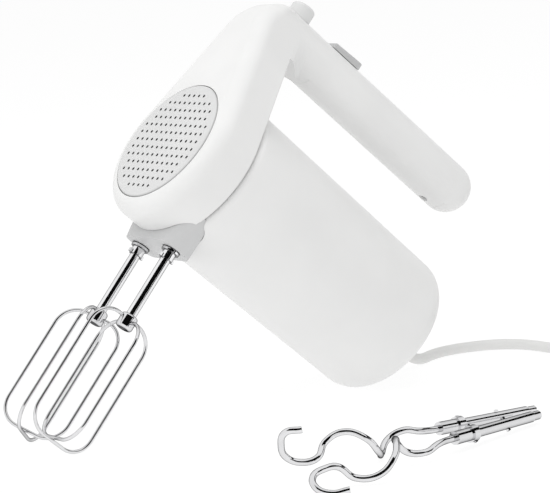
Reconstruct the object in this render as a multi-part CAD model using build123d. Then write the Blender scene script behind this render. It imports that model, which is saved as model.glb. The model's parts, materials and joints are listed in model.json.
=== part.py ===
from build123d import *
from build123d import SkipClean
import math
import os

# Hand mixer with two wire beaters, a pair of dough hooks and a mains lead.
# The mixer is drawn upright, as it is held in use, and then laid on its beater tips and its heel.
# Upright frame: X to the right when facing the vent grille, Y towards the handle's end, Z up.
# Its origin is midway between the two spindles, on the underside of the beater boss.
# Dough hooks and lead are drawn on the table, in the frame that the resting mixer has.

# Face and arm: one moulding with the outline of a drop
FACE_RADIUS = 46.8
MOTOR_AXIS_Z = 52.0
FACE_FRONT_Y = -30.0
ARM_REAR_Y = -3.0
FACE_EDGE_ROUND = 9.0
SHELL_WALL = 2.5
LIP_STEP = 1.0
LIP_DEPTH = 1.0
BEND_RADIUS = 28.0
BEND_ANGLE = 60.0
BEND_DROP = 26.4

# Handle
HANDLE_RADIUS = 15.25
HANDLE_AXIS_Z = 144.7
HANDLE_END_Y = 160.9
ROOT_LENGTH = 24.0
ROOT_STEPS = 8
ROOT_END_FOOT = 2.4
COVER_HALF_ANGLE = 38.0
COVER_FRONT_Y = 22.0
COVER_REAR_GAP = 16.0
HANDLE_SCREW_Y = 136.0

# Vent grille
GRILLE_RADIUS = 38.0
GRILLE_THICKNESS = 2.2
GRILLE_SEAT = 1.6
GRILLE_EDGE_ROUND = 1.2
VENT_RADIUS = 1.0
VENT_SIDES = 8
VENT_PITCH = 5.08
VENT_FIELD_RADIUS = 33.0
AIR_OPENING_RADIUS = 33.6

# Motor housing
SEAM_GAP = 1.6
HOUSING_FRONT_RADIUS = 46.4
HOUSING_REAR_RADIUS = 44.1
HOUSING_END_Y = 166.0
HOUSING_FRONT_ROUND = 5.0
FRONT_ROUND_SHARE = 0.9
HEEL_ROUND = 15.0
HOUSING_SEAT_RADIUS = 40.0
HOUSING_LEDGE_RADIUS = 37.6
HOUSING_LEDGE_DEPTH = 3.0
RIB_WIDTH = 4.0

# Beater boss
BOSS_HEIGHT = 21.0
BOSS_FOOT_HALF_WIDTH = 22.0
BOSS_FOOT_FRONT_Y = -10.5
BOSS_FOOT_REAR_Y = 11.5
BOSS_TOP_HALF_WIDTH = 32.0
BOSS_TOP_FRONT_Y = -8.0
BOSS_TOP_REAR_Y = 6.6
BOSS_CORNER = 6.0
BOSS_MOUTH_RADIUS = 5.6
BOSS_MOUTH_DEPTH = 3.0

# Spindles, worm drive and their frame
SPINDLE_SPACING = 32.0
SPINDLE_RADIUS = 4.5
SPINDLE_TOP_Z = 62.5
DOG_SLOT_DEPTH = 3.2
BUSH_RADIUS = 6.5
BUSH_FLANGE_RADIUS = 7.4
BUSH_FLANGE = 1.5
GEAR_TEETH = 22
GEAR_MODULE = 1.0
GEAR_WIDTH = 5.0
GEAR_HUB_RADIUS = 7.0
GEAR_HUB_LENGTH = 9.0
GEAR_TIP_GAP = 0.4
TOOTH_ROOT_WIDTH = 1.5
TOOTH_TIP_WIDTH = 0.8
WORM_TIP_RADIUS = 6.0
WORM_TURNS = 6
FRAME_PLATE_Y = 18.0
FRAME_PLATE = 4.0
SHELF_HALF_WIDTH = 24.0
LOWER_SHELF = 5.0
UPPER_SHELF = 3.5
UPPER_SHELF_Z = 58.5
SHELF_FRONT_Y = -8.0
NOSE_POST_FRONT_Y = -20.0
NOSE_POST = 5.0
NOSE_POST_HALF_WIDTH = 8.0
TOWER_RADIUS = 3.6
TOWER_CIRCLE = 34.5
TOWER_ANGLE = 35.0
SCREW_RADIUS = 1.5
SCREW_HEAD_RADIUS = 2.8
SCREW_HEAD = 2.2
SCREW_LENGTH = 14.0

# Motor
SHAFT_RADIUS = 4.0
SHAFT_REAR_Y = 128.0
BEARING_RADIUS = 8.0
BEARING_WIDTH = 7.0
FAN_Y = 28.0
FAN_DEPTH = 11.0
FAN_RADIUS = 34.0
FAN_HUB_RADIUS = 9.0
FAN_BLADES = 12
FAN_BLADE = 1.6
CORE_Y = 52.0
CORE_LENGTH = 40.0
CORE_RADIUS = 20.0
CORE_SLOTS = 12
CORE_SLOT_WIDTH = 2.4
CORE_SLOT_DEPTH = 8.0
END_TURN = 8.0
END_TURN_RADIUS = 17.0
STATOR_RADIUS = 38.0
STATOR_RING = 7.0
AIR_GAP = 0.6
POLE_HALF_WIDTH = 12.0
COIL_WIDTH = 5.0
COIL_DEPTH = 3.6
COIL_OVERHANG = 7.5
COMMUTATOR_Y = 103.0
COMMUTATOR_LENGTH = 13.0
COMMUTATOR_RADIUS = 11.0
COMMUTATOR_GROOVE = 0.6
BRACKET_Y = 119.0
BRACKET = 5.0
BRACKET_HALF_WIDTH = 14.0
BRUSH_SIDE = 7.0
BRUSH_LENGTH = 16.0
HOLDER_WALL = 1.6

# Ejector
BUTTON_RADIUS = 7.25
BUTTON_Y = -0.5
BUTTON_TOP_Z = 167.3
BUTTON_FLANGE_RADIUS = 8.6
BUTTON_FLANGE_Z = 150.5
BUTTON_FLANGE = 2.0
BUTTON_EDGE_ROUND = 1.6
EJECT_TRAVEL = 7.0
EJECT_ROD_Y = -9.5
EJECT_ROD_RADIUS = 2.4
EJECT_ARM = 3.0
EJECT_ARM_HALF_WIDTH = 4.5
YOKE_Z = 70.5
YOKE = 4.0
YOKE_HALF_WIDTH = 19.0
YOKE_REAR_Y = 4.0
PUSH_PIN_RADIUS = 2.6
PUSH_GAP = 0.3
SPRING_Y = 3.0
SPRING_RADIUS = 3.6
SPRING_WIRE = 0.45
SPRING_TURNS = 5
SPRING_SEAT_Z = 133.4
SPRING_SEAT_RADIUS = 5.0

# Speed slider and switch
KNOB_FRONT_Y = 26.6
KNOB_REAR_Y = 48.8
KNOB_HALF_WIDTH = 6.0
KNOB_FRONT_RISE = 2.6
KNOB_REAR_RISE = 3.6
KNOB_GAP = 0.35
KNOB_EDGE_ROUND = 0.9
SLIDER_TRAVEL = 12.0
NECK_HALF_WIDTH = 2.5
NECK_FRONT_Y = 40.2
NECK_REAR_Y = 46.2
CARRIAGE_Z = 151.6
CARRIAGE = 2.0
CARRIAGE_HALF_WIDTH = 5.5
CARRIAGE_OVERLAP = 5.0
SWITCH_HALF_WIDTH = 8.0
SWITCH_FRONT_Y = 26.0
SWITCH_REAR_Y = 60.0
SWITCH_FOOT_Z = 135.2
SWITCH_TOP_Z = 151.3

# Beaters
SHANK_RADIUS = 3.0
SHANK_TOP_Z = 64.5
FLANGE_RADIUS = 5.3
FLANGE_TOP_Z = -0.6
FLANGE = 1.2
SLEEVE_RADIUS = 3.9
SLEEVE_FOOT_Z = -6.4
EAR_REACH = 5.2
EAR_WIDTH = 1.8
EAR_HEIGHT = 2.2
DOG_WIDTH = 1.6
DOG_HEIGHT = 2.6
CAGE_RADIUS = 21.1
CAGE_TOP_Z = -46.0
CAGE_TIP_Z = -126.4
CAGE_CORNER = 13.0
WIRE_RADIUS = 1.0
LOOP_STEP = 2.2
CAGE_COLLAR_RADIUS = 5.0
CAGE_COLLAR_TOP_Z = -43.6
CAGE_COLLAR_LENGTH = 8.6
CAGE_COLLAR_ROUND = 1.6
LEFT_CAGE_ANGLE = 127.0
RIGHT_CAGE_ANGLE = 89.5

# Dough hooks: a spiral of wire with a curled end, lying on the table
HOOK_WIRE_RADIUS = 2.2
HOOK_SPIRAL_RADIUS = 8.0
HOOK_TURNS = 1.62
HOOK_PITCH = 50.0
HOOK_RUN_IN = 0.5
HOOK_STEPS = 9
HOOK_SPIRAL_SHARE = 0.979
HOOK_STRAIGHT = 6.3
CURL_RADIUS = 12.6
CURL_SWEEP = 206.0
CURL_STEPS = 4
CURL_FIRST_SHARE = 0.12
CURL_SIDE_ANGLE = -22.0
CURL_LIFT_ANGLE = 45.0
CURL_ROLL = 185.0
HOOK_SLEEVE_RADIUS = 3.6
HOOK_SLEEVE_LENGTH = 12.5
HOOK_SHANK_LENGTH = 74.0
HOOK_TIP_LENGTH = 6.5
HOOK_TIP_RADIUS = 2.5
HOOK_COLLAR_RADIUS = 5.2
HOOK_COLLAR_LENGTH = 4.6
HOOK_STUD_DISTANCE = 44.5
LEFT_HOOK_PLACE = (145.1, 75.6)
LEFT_HOOK_HEADING = 276.6
LEFT_HOOK_RISE = 3.4
LEFT_HOOK_TURN = 10.6
RIGHT_HOOK_PLACE = (169.5, 67.8)
RIGHT_HOOK_HEADING = 283.6
RIGHT_HOOK_RISE = 2.6
RIGHT_HOOK_TURN = -34.1

# Mains lead, put away in a tied coil
CORD_RADIUS = 3.25
CORD_SIDES = 10
FLOOR_GAP = 0.05
GLAND_X = -11.0
GLAND_LENGTH = 20.0
GLAND_ROOT_RADIUS = 6.6
GLAND_TIP_RADIUS = 4.1
GLAND_COLLAR = 2.0
GLAND_NECK_RADIUS = 5.5
GLAND_FLANGE_RADIUS = 8.0
GLAND_FLANGE = 2.0
CORD_FLOOR_Z = 3.5
CORD_ROUTE = [
    (-19.2, 204.4),
    (-25.6, 219.6),
    (-24.0, 233.6),
    (-17.0, 245.4),
    (-4.8, 254.2),
    (9.4, 259.8),
    (24.8, 262.4),
]
COIL_CENTRE = (62.0, 306.0)
COIL_OUTER_RADIUS = 45.5
COIL_TURN_STEP = 7.4
COIL_LAYER_STEP = 7.4
COIL_INWARD_HALF_TURNS = 5
COIL_OUTWARD_HALF_TURNS = 4
COIL_TAIL = 42.0
TIE_THICKNESS = 0.9
TIE_WIDTH = 9.0
TIE_GAP = 0.5
TIE_ROUND = 5.0
PLUG_WIDTH = 35.0
PLUG_LENGTH = 26.0
PLUG_NECK = 15.0
PLUG_NECK_RADIUS = 5.2
PIN_RADIUS = 2.4
PIN_LENGTH = 19.0
PIN_SPACING = 19.0

# Fits
FIT = 0.05
RUN = 0.1
CLEAR = 0.3

# Sizes that follow from the ones above
HANDLE_TOP_Z = HANDLE_AXIS_Z + HANDLE_RADIUS
HANDLE_BORE = HANDLE_RADIUS - SHELL_WALL
HOUSING_FRONT_Y = ARM_REAR_Y + SEAM_GAP
FRAME_REAR_Y = FRAME_PLATE_Y + FRAME_PLATE
FRAME_PLATE_RADIUS = HOUSING_SEAT_RADIUS - CLEAR
HALF_SPACING = SPINDLE_SPACING / 2
GEAR_PITCH_RADIUS = GEAR_MODULE * GEAR_TEETH / 2
WORM_PITCH = math.pi * GEAR_MODULE
GEAR_TIP_RADIUS = HALF_SPACING - SHAFT_RADIUS - GEAR_TIP_GAP
GEAR_ROOT_RADIUS = HALF_SPACING - WORM_TIP_RADIUS - GEAR_TIP_GAP
SHELF_TOP_Z = BOSS_HEIGHT + LOWER_SHELF
COIL_Z = CORD_RADIUS + TIE_THICKNESS + TIE_GAP + FLOOR_GAP
SIDES = ((-1, "left"), (1, "right"))
FAR = 300.0


def rod(radius, start, end):
    """Round bar between two points."""
    start = Vector(*start)
    run = Vector(*end) - start
    return extrude(Plane(origin=start, z_dir=run) * Circle(radius), run.length)


def pipe(outer, inner, start, end):
    """Round tube between two points."""
    return rod(outer, start, end) - rod(inner, start, end)


def block(x_range, y_range, z_range):
    """Box between two corners."""
    low = Vector(x_range[0], y_range[0], z_range[0])
    size = Vector(x_range[1], y_range[1], z_range[1]) - low
    return Pos(*low) * Box(size.X, size.Y, size.Z, align=(Align.MIN, Align.MIN, Align.MIN))


def motor_rod(radius, front_y, rear_y):
    """Round bar on the motor's axis."""
    return rod(radius, (0, front_y, MOTOR_AXIS_Z), (0, rear_y, MOTOR_AXIS_Z))


def motor_ring(outer, inner, front_y, rear_y):
    """Round tube on the motor's axis."""
    return motor_rod(outer, front_y, rear_y) - motor_rod(inner, front_y, rear_y)


def around_motor(count, solid, first=0.0):
    """Copies of a solid, turned about the motor's axis."""
    axis = Pos(0, 0, MOTOR_AXIS_Z)
    back = Pos(0, 0, -MOTOR_AXIS_Z)
    return [axis * Rot(Y=first + 360.0 * k / count) * back * solid for k in range(count)]


def facing_front(y):
    """Plane across the mixer at a depth, with its normal to the front."""
    return Plane(origin=(0, y, 0), x_dir=(1, 0, 0), z_dir=(0, -1, 0))


def arm_lean():
    """Lean of the arm's straight sides between the round face and the handle."""
    return math.asin((FACE_RADIUS - HANDLE_RADIUS) / (HANDLE_AXIS_Z - MOTOR_AXIS_Z))


def drop_outline(inset):
    """Round face and handle end, joined by tangent lines, as seen from the front."""
    big = FACE_RADIUS - inset
    small = HANDLE_RADIUS - inset
    lean = arm_lean()
    low = Vector(big * math.cos(lean), MOTOR_AXIS_Z + big * math.sin(lean))
    high = Vector(small * math.cos(lean), HANDLE_AXIS_Z + small * math.sin(lean))
    low_left = Vector(-low.X, low.Y)
    high_left = Vector(-high.X, high.Y)
    return make_face([
        Line(low, high),
        ThreePointArc(high, (0, HANDLE_AXIS_Z + small), high_left),
        Line(high_left, low_left),
        ThreePointArc(low_left, (0, MOTOR_AXIS_Z - big), low),
    ])


def bend_limit(inset):
    """Everything behind the flat face and under the bend from the face to the handle."""
    front = FACE_FRONT_Y + inset
    radius = BEND_RADIUS - inset
    centre = Vector(FACE_FRONT_Y + BEND_RADIUS, HANDLE_TOP_Z - BEND_DROP)

    def on_bend(angle):
        turn = math.radians(angle)
        return centre + Vector(-radius * math.cos(turn), radius * math.sin(turn))

    start = on_bend(0)
    end = on_bend(BEND_ANGLE)
    turn = math.radians(BEND_ANGLE)
    brow = end + Vector(math.sin(turn), math.cos(turn)) * FAR
    outline = make_face([
        Line((front, -FAR), start),
        ThreePointArc(start, on_bend(BEND_ANGLE / 2), end),
        Line(end, brow),
        Line(brow, (brow.X, -FAR)),
        Line((brow.X, -FAR), (front, -FAR)),
    ])
    return extrude(Plane.YZ * outline, FACE_RADIUS * 2, both=True)


def arm_form(inset, rear_y):
    """Face, arm and handle as one solid, drawn in by a wall thickness."""
    slab = extrude(facing_front(rear_y) * drop_outline(inset), rear_y - FACE_FRONT_Y)
    slab = slab & bend_limit(inset)
    sides = [f for f in slab.faces() if f.normal_at().Y < -0.1 and abs(f.normal_at().X) < 0.01]
    front_edges = []
    for edge in slab.edges():
        owners = [f for f in sides if edge in f.edges()]
        if len(owners) == 1:
            front_edges.append(edge)
    slab = fillet(front_edges, FACE_EDGE_ROUND - inset)
    end_y = HANDLE_END_Y - HANDLE_RADIUS
    radius = HANDLE_RADIUS - inset
    handle = rod(radius, (0, rear_y, HANDLE_AXIS_Z), (0, end_y, HANDLE_AXIS_Z))
    dome = Pos(0, end_y, HANDLE_AXIS_Z) * Sphere(radius)
    return slab + handle + dome


def root_section(foot_x):
    """Section of the handle's root: its circle, with lines that leave it down to a flat underside."""
    turn = 2.0 * math.atan(foot_x / HANDLE_RADIUS) - math.pi / 2
    touch = Vector(HANDLE_RADIUS * math.cos(turn), HANDLE_RADIUS * math.sin(turn))
    foot = Vector(foot_x, -HANDLE_RADIUS)
    touch_left = Vector(-touch.X, touch.Y)
    foot_left = Vector(-foot.X, foot.Y)
    return Pos(0, HANDLE_AXIS_Z) * make_face([
        Line(foot, touch),
        ThreePointArc(touch, (0, HANDLE_RADIUS), touch_left),
        Line(touch_left, foot_left),
        Line(foot_left, foot),
    ])


def handle_root():
    """Root of the handle, which narrows from the arm's outline to the handle's circle."""
    first_foot = HANDLE_RADIUS * math.tan(math.pi / 4 + arm_lean() / 2)
    sections = []
    for k in range(ROOT_STEPS + 1):
        share = k / ROOT_STEPS
        ease = share * share * (3.0 - 2.0 * share)
        foot_x = first_foot + (ROOT_END_FOOT - first_foot) * ease
        sections.append(facing_front(ARM_REAR_Y + ROOT_LENGTH * share) * root_section(foot_x))
    return loft(sections, ruled=True)


def tower_places():
    """Screw towers around the motor's axis, as X and Z."""
    reach = TOWER_CIRCLE * math.cos(math.radians(TOWER_ANGLE))
    rise = TOWER_CIRCLE * math.sin(math.radians(TOWER_ANGLE))
    return [(x, MOTOR_AXIS_Z + z) for x in (-reach, reach) for z in (-rise, rise)]


def cover_wedge(gap):
    """Wedge that parts the underside cover from the handle."""
    low = HANDLE_RADIUS * 2
    half = math.radians(COVER_HALF_ANGLE)
    side = Vector(low * math.tan(half), -low)
    outline = Pos(0, HANDLE_AXIS_Z) * make_face(
        Polyline((0, 0), (side.X, side.Y), (-side.X, side.Y), close=True),
    )
    rear_y = HANDLE_END_Y - COVER_REAR_GAP + gap
    front_y = COVER_FRONT_Y - gap
    return extrude(facing_front(rear_y) * outline, rear_y - front_y)


def arm_shell():
    """Front moulding: face, arm and the upper side of the handle."""
    shell = arm_form(0, ARM_REAR_Y) + handle_root() - arm_form(SHELL_WALL, ARM_REAR_Y + LIP_DEPTH)
    lip = drop_outline(LIP_STEP) - drop_outline(SHELL_WALL)
    lip = extrude(facing_front(ARM_REAR_Y + LIP_DEPTH) * lip, LIP_DEPTH)
    shell += lip & block((-FAR, FAR), (-FAR, FAR), (-FAR, HANDLE_AXIS_Z - HANDLE_RADIUS - LIP_DEPTH))
    seat_y = FACE_FRONT_Y + GRILLE_SEAT
    shell -= motor_rod(GRILLE_RADIUS + CLEAR, FACE_FRONT_Y - SHELL_WALL, seat_y)
    shell -= motor_rod(AIR_OPENING_RADIUS, FACE_FRONT_Y - SHELL_WALL, FACE_FRONT_Y + 2 * SHELL_WALL)
    for x, z in tower_places():
        hole_y = FRAME_PLATE_Y - SCREW_LENGTH
        tower = rod(
            TOWER_RADIUS,
            (x, FACE_FRONT_Y + SHELL_WALL / 2 + GRILLE_SEAT / 2, z),
            (x, FRAME_PLATE_Y, z),
        )
        shell += tower - rod(SCREW_RADIUS + FIT, (x, hole_y, z), (x, FRAME_PLATE_Y, z))
    spring_seat = (0, SPRING_Y, SPRING_SEAT_Z)
    shell += rod(
        SPRING_SEAT_RADIUS,
        (0, SPRING_Y, HANDLE_AXIS_Z - HANDLE_BORE - SHELL_WALL / 2),
        spring_seat,
    )
    shell += handle_tower()
    shell -= rod(
        BUTTON_RADIUS + CLEAR,
        (0, BUTTON_Y, HANDLE_AXIS_Z),
        (0, BUTTON_Y, HANDLE_TOP_Z + SHELL_WALL),
    )
    shell -= block(
        (-NECK_HALF_WIDTH - CLEAR, NECK_HALF_WIDTH + CLEAR),
        (NECK_FRONT_Y - SLIDER_TRAVEL - CLEAR, NECK_REAR_Y + CLEAR),
        (HANDLE_AXIS_Z, HANDLE_TOP_Z + SHELL_WALL),
    )
    cut = cover_wedge(FIT) & rod(FAR, (0, 0, HANDLE_AXIS_Z - HANDLE_BORE * 0.6), (0, 0, -FAR))
    shell -= cut - rod(
        TOWER_RADIUS * 1.5,
        (0, HANDLE_SCREW_Y, HANDLE_TOP_Z),
        (0, HANDLE_SCREW_Y, cover_seat_z()),
    )
    return shell - boss_form(CLEAR)


def cover_seat_z():
    """Height at which the handle's screw tower meets the underside cover."""
    return HANDLE_AXIS_Z - HANDLE_BORE + SHELL_WALL


def handle_tower():
    """Screw tower inside the handle, with the hole for the cover's screw."""
    top = (0, HANDLE_SCREW_Y, HANDLE_TOP_Z - SHELL_WALL / 2)
    foot = (0, HANDLE_SCREW_Y, cover_seat_z())
    hole_top = (0, HANDLE_SCREW_Y, cover_seat_z() + SCREW_LENGTH)
    return rod(TOWER_RADIUS, foot, top) - rod(SCREW_RADIUS + FIT, foot, hole_top)


def handle_cover():
    """Strip under the handle, with a sunk hole for its screw."""
    end_y = HANDLE_END_Y - HANDLE_RADIUS
    skin = pipe(HANDLE_RADIUS, HANDLE_BORE, (0, 0, HANDLE_AXIS_Z), (0, end_y, HANDLE_AXIS_Z))
    cover = skin & cover_wedge(-FIT)
    seat_z = cover_seat_z()
    low_z = HANDLE_AXIS_Z - HANDLE_RADIUS - SHELL_WALL
    pad = rod(
        TOWER_RADIUS,
        (0, HANDLE_SCREW_Y, HANDLE_AXIS_Z - HANDLE_RADIUS + SHELL_WALL / 2),
        (0, HANDLE_SCREW_Y, seat_z),
    )
    cover += pad
    cover -= rod(SCREW_RADIUS + FIT, (0, HANDLE_SCREW_Y, low_z), (0, HANDLE_SCREW_Y, seat_z))
    head_z = seat_z - SHELL_WALL / 2
    return cover - rod(SCREW_HEAD_RADIUS + FIT, (0, HANDLE_SCREW_Y, low_z), (0, HANDLE_SCREW_Y, head_z))


def handle_screw():
    """Screw that holds the underside cover."""
    head_z = cover_seat_z() - SHELL_WALL / 2
    head = rod(SCREW_HEAD_RADIUS, (0, HANDLE_SCREW_Y, head_z - SCREW_HEAD), (0, HANDLE_SCREW_Y, head_z))
    slot = block(
        (-SCREW_HEAD_RADIUS, SCREW_HEAD_RADIUS),
        (HANDLE_SCREW_Y - 0.5, HANDLE_SCREW_Y + 0.5),
        (head_z - SCREW_HEAD, head_z - SCREW_HEAD + 1),
    )
    shank = rod(SCREW_RADIUS, (0, HANDLE_SCREW_Y, head_z), (0, HANDLE_SCREW_Y, head_z + SCREW_LENGTH))
    return head - slot + shank


def arm_back_plate():
    """Plate that closes the arm's rear between the motor housing and the handle."""
    plate = drop_outline(SHELL_WALL + CLEAR)
    plate -= Pos(0, MOTOR_AXIS_Z) * Circle(HOUSING_FRONT_RADIUS - SHELL_WALL)
    plate -= Pos(0, HANDLE_AXIS_Z) * Circle(HANDLE_BORE)
    lower = Pos(0, MOTOR_AXIS_Z - FAR / 2) * Rectangle(FAR, FAR)
    upper = Pos(0, HANDLE_AXIS_Z + FAR / 2) * Rectangle(FAR, FAR)
    plate = plate - lower - upper
    return extrude(facing_front(ARM_REAR_Y) * plate, SHELL_WALL)


def vent_grille():
    """Round perforated plate in the face, with a square grid of holes."""
    front_y = FACE_FRONT_Y + GRILLE_SEAT - GRILLE_THICKNESS
    seat_y = FACE_FRONT_Y + GRILLE_SEAT
    disc = motor_rod(GRILLE_RADIUS, front_y, seat_y)
    disc = fillet(disc.edges().sort_by(Axis.Y)[0], GRILLE_EDGE_ROUND)
    count = int(VENT_FIELD_RADIUS / VENT_PITCH)
    steps = range(-count, count + 1)
    spots = [(i * VENT_PITCH, MOTOR_AXIS_Z + j * VENT_PITCH) for i in steps for j in steps
             if math.hypot(i, j) * VENT_PITCH <= VENT_FIELD_RADIUS]
    holes = Sketch() + [Pos(x, z) * RegularPolygon(VENT_RADIUS, VENT_SIDES) for x, z in spots]
    return disc - extrude(facing_front(seat_y + FIT) * holes, GRILLE_THICKNESS * 2)


def housing_radius(y):
    """Outer radius of the tapered motor housing."""
    share = (y - HOUSING_FRONT_Y) / (HOUSING_END_Y - HEEL_ROUND - HOUSING_FRONT_Y)
    return HOUSING_FRONT_RADIUS + (HOUSING_REAR_RADIUS - HOUSING_FRONT_RADIUS) * share


def motor_housing():
    """Tapered cup over the motor, with a round heel and a seat for the frame."""
    front = HOUSING_FRONT_Y
    heel = HOUSING_END_Y - HEEL_ROUND
    ledge_end = FRAME_REAR_Y + HOUSING_LEDGE_DEPTH
    diagonal = math.sqrt(0.5)
    front_wall = housing_radius(front) - HOUSING_SEAT_RADIUS
    front_round = min(HOUSING_FRONT_ROUND, front_wall * FRONT_ROUND_SHARE)
    shoulder = front + front_round
    shoulder_r = housing_radius(shoulder)
    bend_in = front_round * (1 - diagonal)
    heel_in = HEEL_ROUND * diagonal
    inner_heel = HEEL_ROUND - SHELL_WALL
    rear_r = HOUSING_REAR_RADIUS - HEEL_ROUND
    outline = make_face([
        Line((front, HOUSING_SEAT_RADIUS), (front, shoulder_r - front_round)),
        ThreePointArc(
            (front, shoulder_r - front_round),
            (front + bend_in, shoulder_r - bend_in),
            (shoulder, shoulder_r),
        ),
        Line((shoulder, shoulder_r), (heel, HOUSING_REAR_RADIUS)),
        ThreePointArc(
            (heel, HOUSING_REAR_RADIUS),
            (heel + heel_in, rear_r + heel_in),
            (HOUSING_END_Y, rear_r),
        ),
        Line((HOUSING_END_Y, rear_r), (HOUSING_END_Y, 0)),
        Line((HOUSING_END_Y, 0), (HOUSING_END_Y - SHELL_WALL, 0)),
        Line((HOUSING_END_Y - SHELL_WALL, 0), (HOUSING_END_Y - SHELL_WALL, rear_r)),
        ThreePointArc(
            (HOUSING_END_Y - SHELL_WALL, rear_r),
            (heel + inner_heel * diagonal, rear_r + inner_heel * diagonal),
            (heel, rear_r + inner_heel),
        ),
        Line((heel, rear_r + inner_heel), (ledge_end, housing_radius(ledge_end) - SHELL_WALL)),
        Line((ledge_end, housing_radius(ledge_end) - SHELL_WALL), (ledge_end, HOUSING_LEDGE_RADIUS)),
        Line((ledge_end, HOUSING_LEDGE_RADIUS), (FRAME_REAR_Y, HOUSING_LEDGE_RADIUS)),
        Line((FRAME_REAR_Y, HOUSING_LEDGE_RADIUS), (FRAME_REAR_Y, HOUSING_SEAT_RADIUS)),
        Line((FRAME_REAR_Y, HOUSING_SEAT_RADIUS), (front, HOUSING_SEAT_RADIUS)),
    ])
    housing = Pos(0, 0, MOTOR_AXIS_Z) * revolve(Plane.YZ * outline, Axis.Y)
    rib = block(
        (-RIB_WIDTH / 2, RIB_WIDTH / 2),
        (CORE_Y, CORE_Y + CORE_LENGTH),
        (
            MOTOR_AXIS_Z + STATOR_RADIUS + CLEAR,
            MOTOR_AXIS_Z + housing_radius(CORE_Y + CORE_LENGTH) - SHELL_WALL / 2,
        ),
    )
    for copy in around_motor(4, rib, 45.0):
        housing += copy
    bar = block(
        (-BRACKET_HALF_WIDTH, BRACKET_HALF_WIDTH),
        (BRACKET_Y + BRACKET, BRACKET_Y + BRACKET + SHELL_WALL),
        (MOTOR_AXIS_Z + STATOR_RADIUS, MOTOR_AXIS_Z + HOUSING_REAR_RADIUS - SHELL_WALL / 2),
    )
    for copy in around_motor(2, bar):
        housing += copy & motor_rod(HOUSING_REAR_RADIUS - SHELL_WALL / 2, 0, HOUSING_END_Y)
    for x, z in tower_places():
        housing -= rod(TOWER_RADIUS, (x, FRAME_REAR_Y, z), (x, ledge_end + CLEAR, z))
    gland_start = (GLAND_X, heel, MOTOR_AXIS_Z)
    gland_end = (GLAND_X, HOUSING_END_Y + SHELL_WALL, MOTOR_AXIS_Z)
    housing -= rod(GLAND_NECK_RADIUS + FIT, gland_start, gland_end)
    return housing - boss_form(CLEAR)


def boss_form(extra):
    """Outer form of the beater boss, grown by a clearance."""
    def section(half_width, front_y, rear_y, z):
        depth = rear_y - front_y + 2 * extra
        middle = (front_y + rear_y) / 2
        return Pos(0, middle, z) * RectangleRounded(2 * (half_width + extra), depth, BOSS_CORNER + extra)

    foot = section(BOSS_FOOT_HALF_WIDTH, BOSS_FOOT_FRONT_Y, BOSS_FOOT_REAR_Y, -extra)
    top = section(BOSS_TOP_HALF_WIDTH, BOSS_TOP_FRONT_Y, BOSS_TOP_REAR_Y, BOSS_HEIGHT + extra)
    return loft([foot, top], ruled=True)


def beater_boss():
    """Grey block under the face that holds both spindle bushes."""
    boss = boss_form(0)
    for side, _ in SIDES:
        x = side * HALF_SPACING
        boss -= rod(BOSS_MOUTH_RADIUS, (x, 0, -1), (x, 0, BOSS_HEIGHT))
        boss -= rod(BUSH_RADIUS + FIT, (x, 0, BOSS_MOUTH_DEPTH), (x, 0, BOSS_HEIGHT))
    return boss


def gearbox_frame():
    """Cast frame: motor plate, two shelves for the spindles and a post for the shaft's nose."""
    frame = motor_rod(FRAME_PLATE_RADIUS, FRAME_PLATE_Y, FRAME_REAR_Y)
    shelf_x = (-SHELF_HALF_WIDTH, SHELF_HALF_WIDTH)
    rear = FRAME_PLATE_Y + FRAME_PLATE / 2
    frame += block(shelf_x, (NOSE_POST_FRONT_Y, rear), (BOSS_HEIGHT, SHELF_TOP_Z))
    frame += block(shelf_x, (SHELF_FRONT_Y, rear), (UPPER_SHELF_Z, UPPER_SHELF_Z + UPPER_SHELF))
    frame += block(
        (-NOSE_POST_HALF_WIDTH, NOSE_POST_HALF_WIDTH),
        (NOSE_POST_FRONT_Y, NOSE_POST_FRONT_Y + NOSE_POST),
        (BOSS_HEIGHT, MOTOR_AXIS_Z + NOSE_POST_HALF_WIDTH),
    )
    frame -= motor_rod(BEARING_RADIUS + FIT, FRAME_PLATE_Y - 1, FRAME_REAR_Y + 1)
    frame -= motor_rod(SHAFT_RADIUS + RUN, NOSE_POST_FRONT_Y - 1, NOSE_POST_FRONT_Y + NOSE_POST + 1)
    for side, _ in SIDES:
        x = side * HALF_SPACING
        frame -= rod(BUSH_RADIUS + FIT, (x, 0, BOSS_HEIGHT - 1), (x, 0, SHELF_TOP_Z + 1))
        frame -= rod(
            SPINDLE_RADIUS + RUN,
            (x, 0, UPPER_SHELF_Z - 1),
            (x, 0, UPPER_SHELF_Z + UPPER_SHELF + 1),
        )
    for x, z in tower_places():
        frame -= rod(SCREW_RADIUS + FIT, (x, FRAME_PLATE_Y - 1, z), (x, FRAME_REAR_Y + 1, z))
    return frame


def body_screws():
    """Four screws through the frame's plate into the arm's towers."""
    screws = []
    for x, z in tower_places():
        head = rod(SCREW_HEAD_RADIUS, (x, FRAME_REAR_Y, z), (x, FRAME_REAR_Y + SCREW_HEAD, z))
        screws.append(
            head + rod(
                SCREW_RADIUS,
                (x, FRAME_REAR_Y + FRAME_PLATE - SCREW_LENGTH, z),
                (x, FRAME_REAR_Y, z),
            ),
        )
    return Compound(screws)


def spindle_bushes():
    """Two flanged bushes, pressed into boss and frame."""
    bushes = []
    for side, _ in SIDES:
        x = side * HALF_SPACING
        bush = rod(BUSH_RADIUS, (x, 0, BOSS_MOUTH_DEPTH), (x, 0, SHELF_TOP_Z))
        bush += rod(BUSH_FLANGE_RADIUS, (x, 0, SHELF_TOP_Z), (x, 0, SHELF_TOP_Z + BUSH_FLANGE))
        bushes.append(bush - rod(SPINDLE_RADIUS + RUN, (x, 0, 0), (x, 0, SHELF_TOP_Z + 2 * BUSH_FLANGE)))
    return Compound(bushes)


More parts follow.
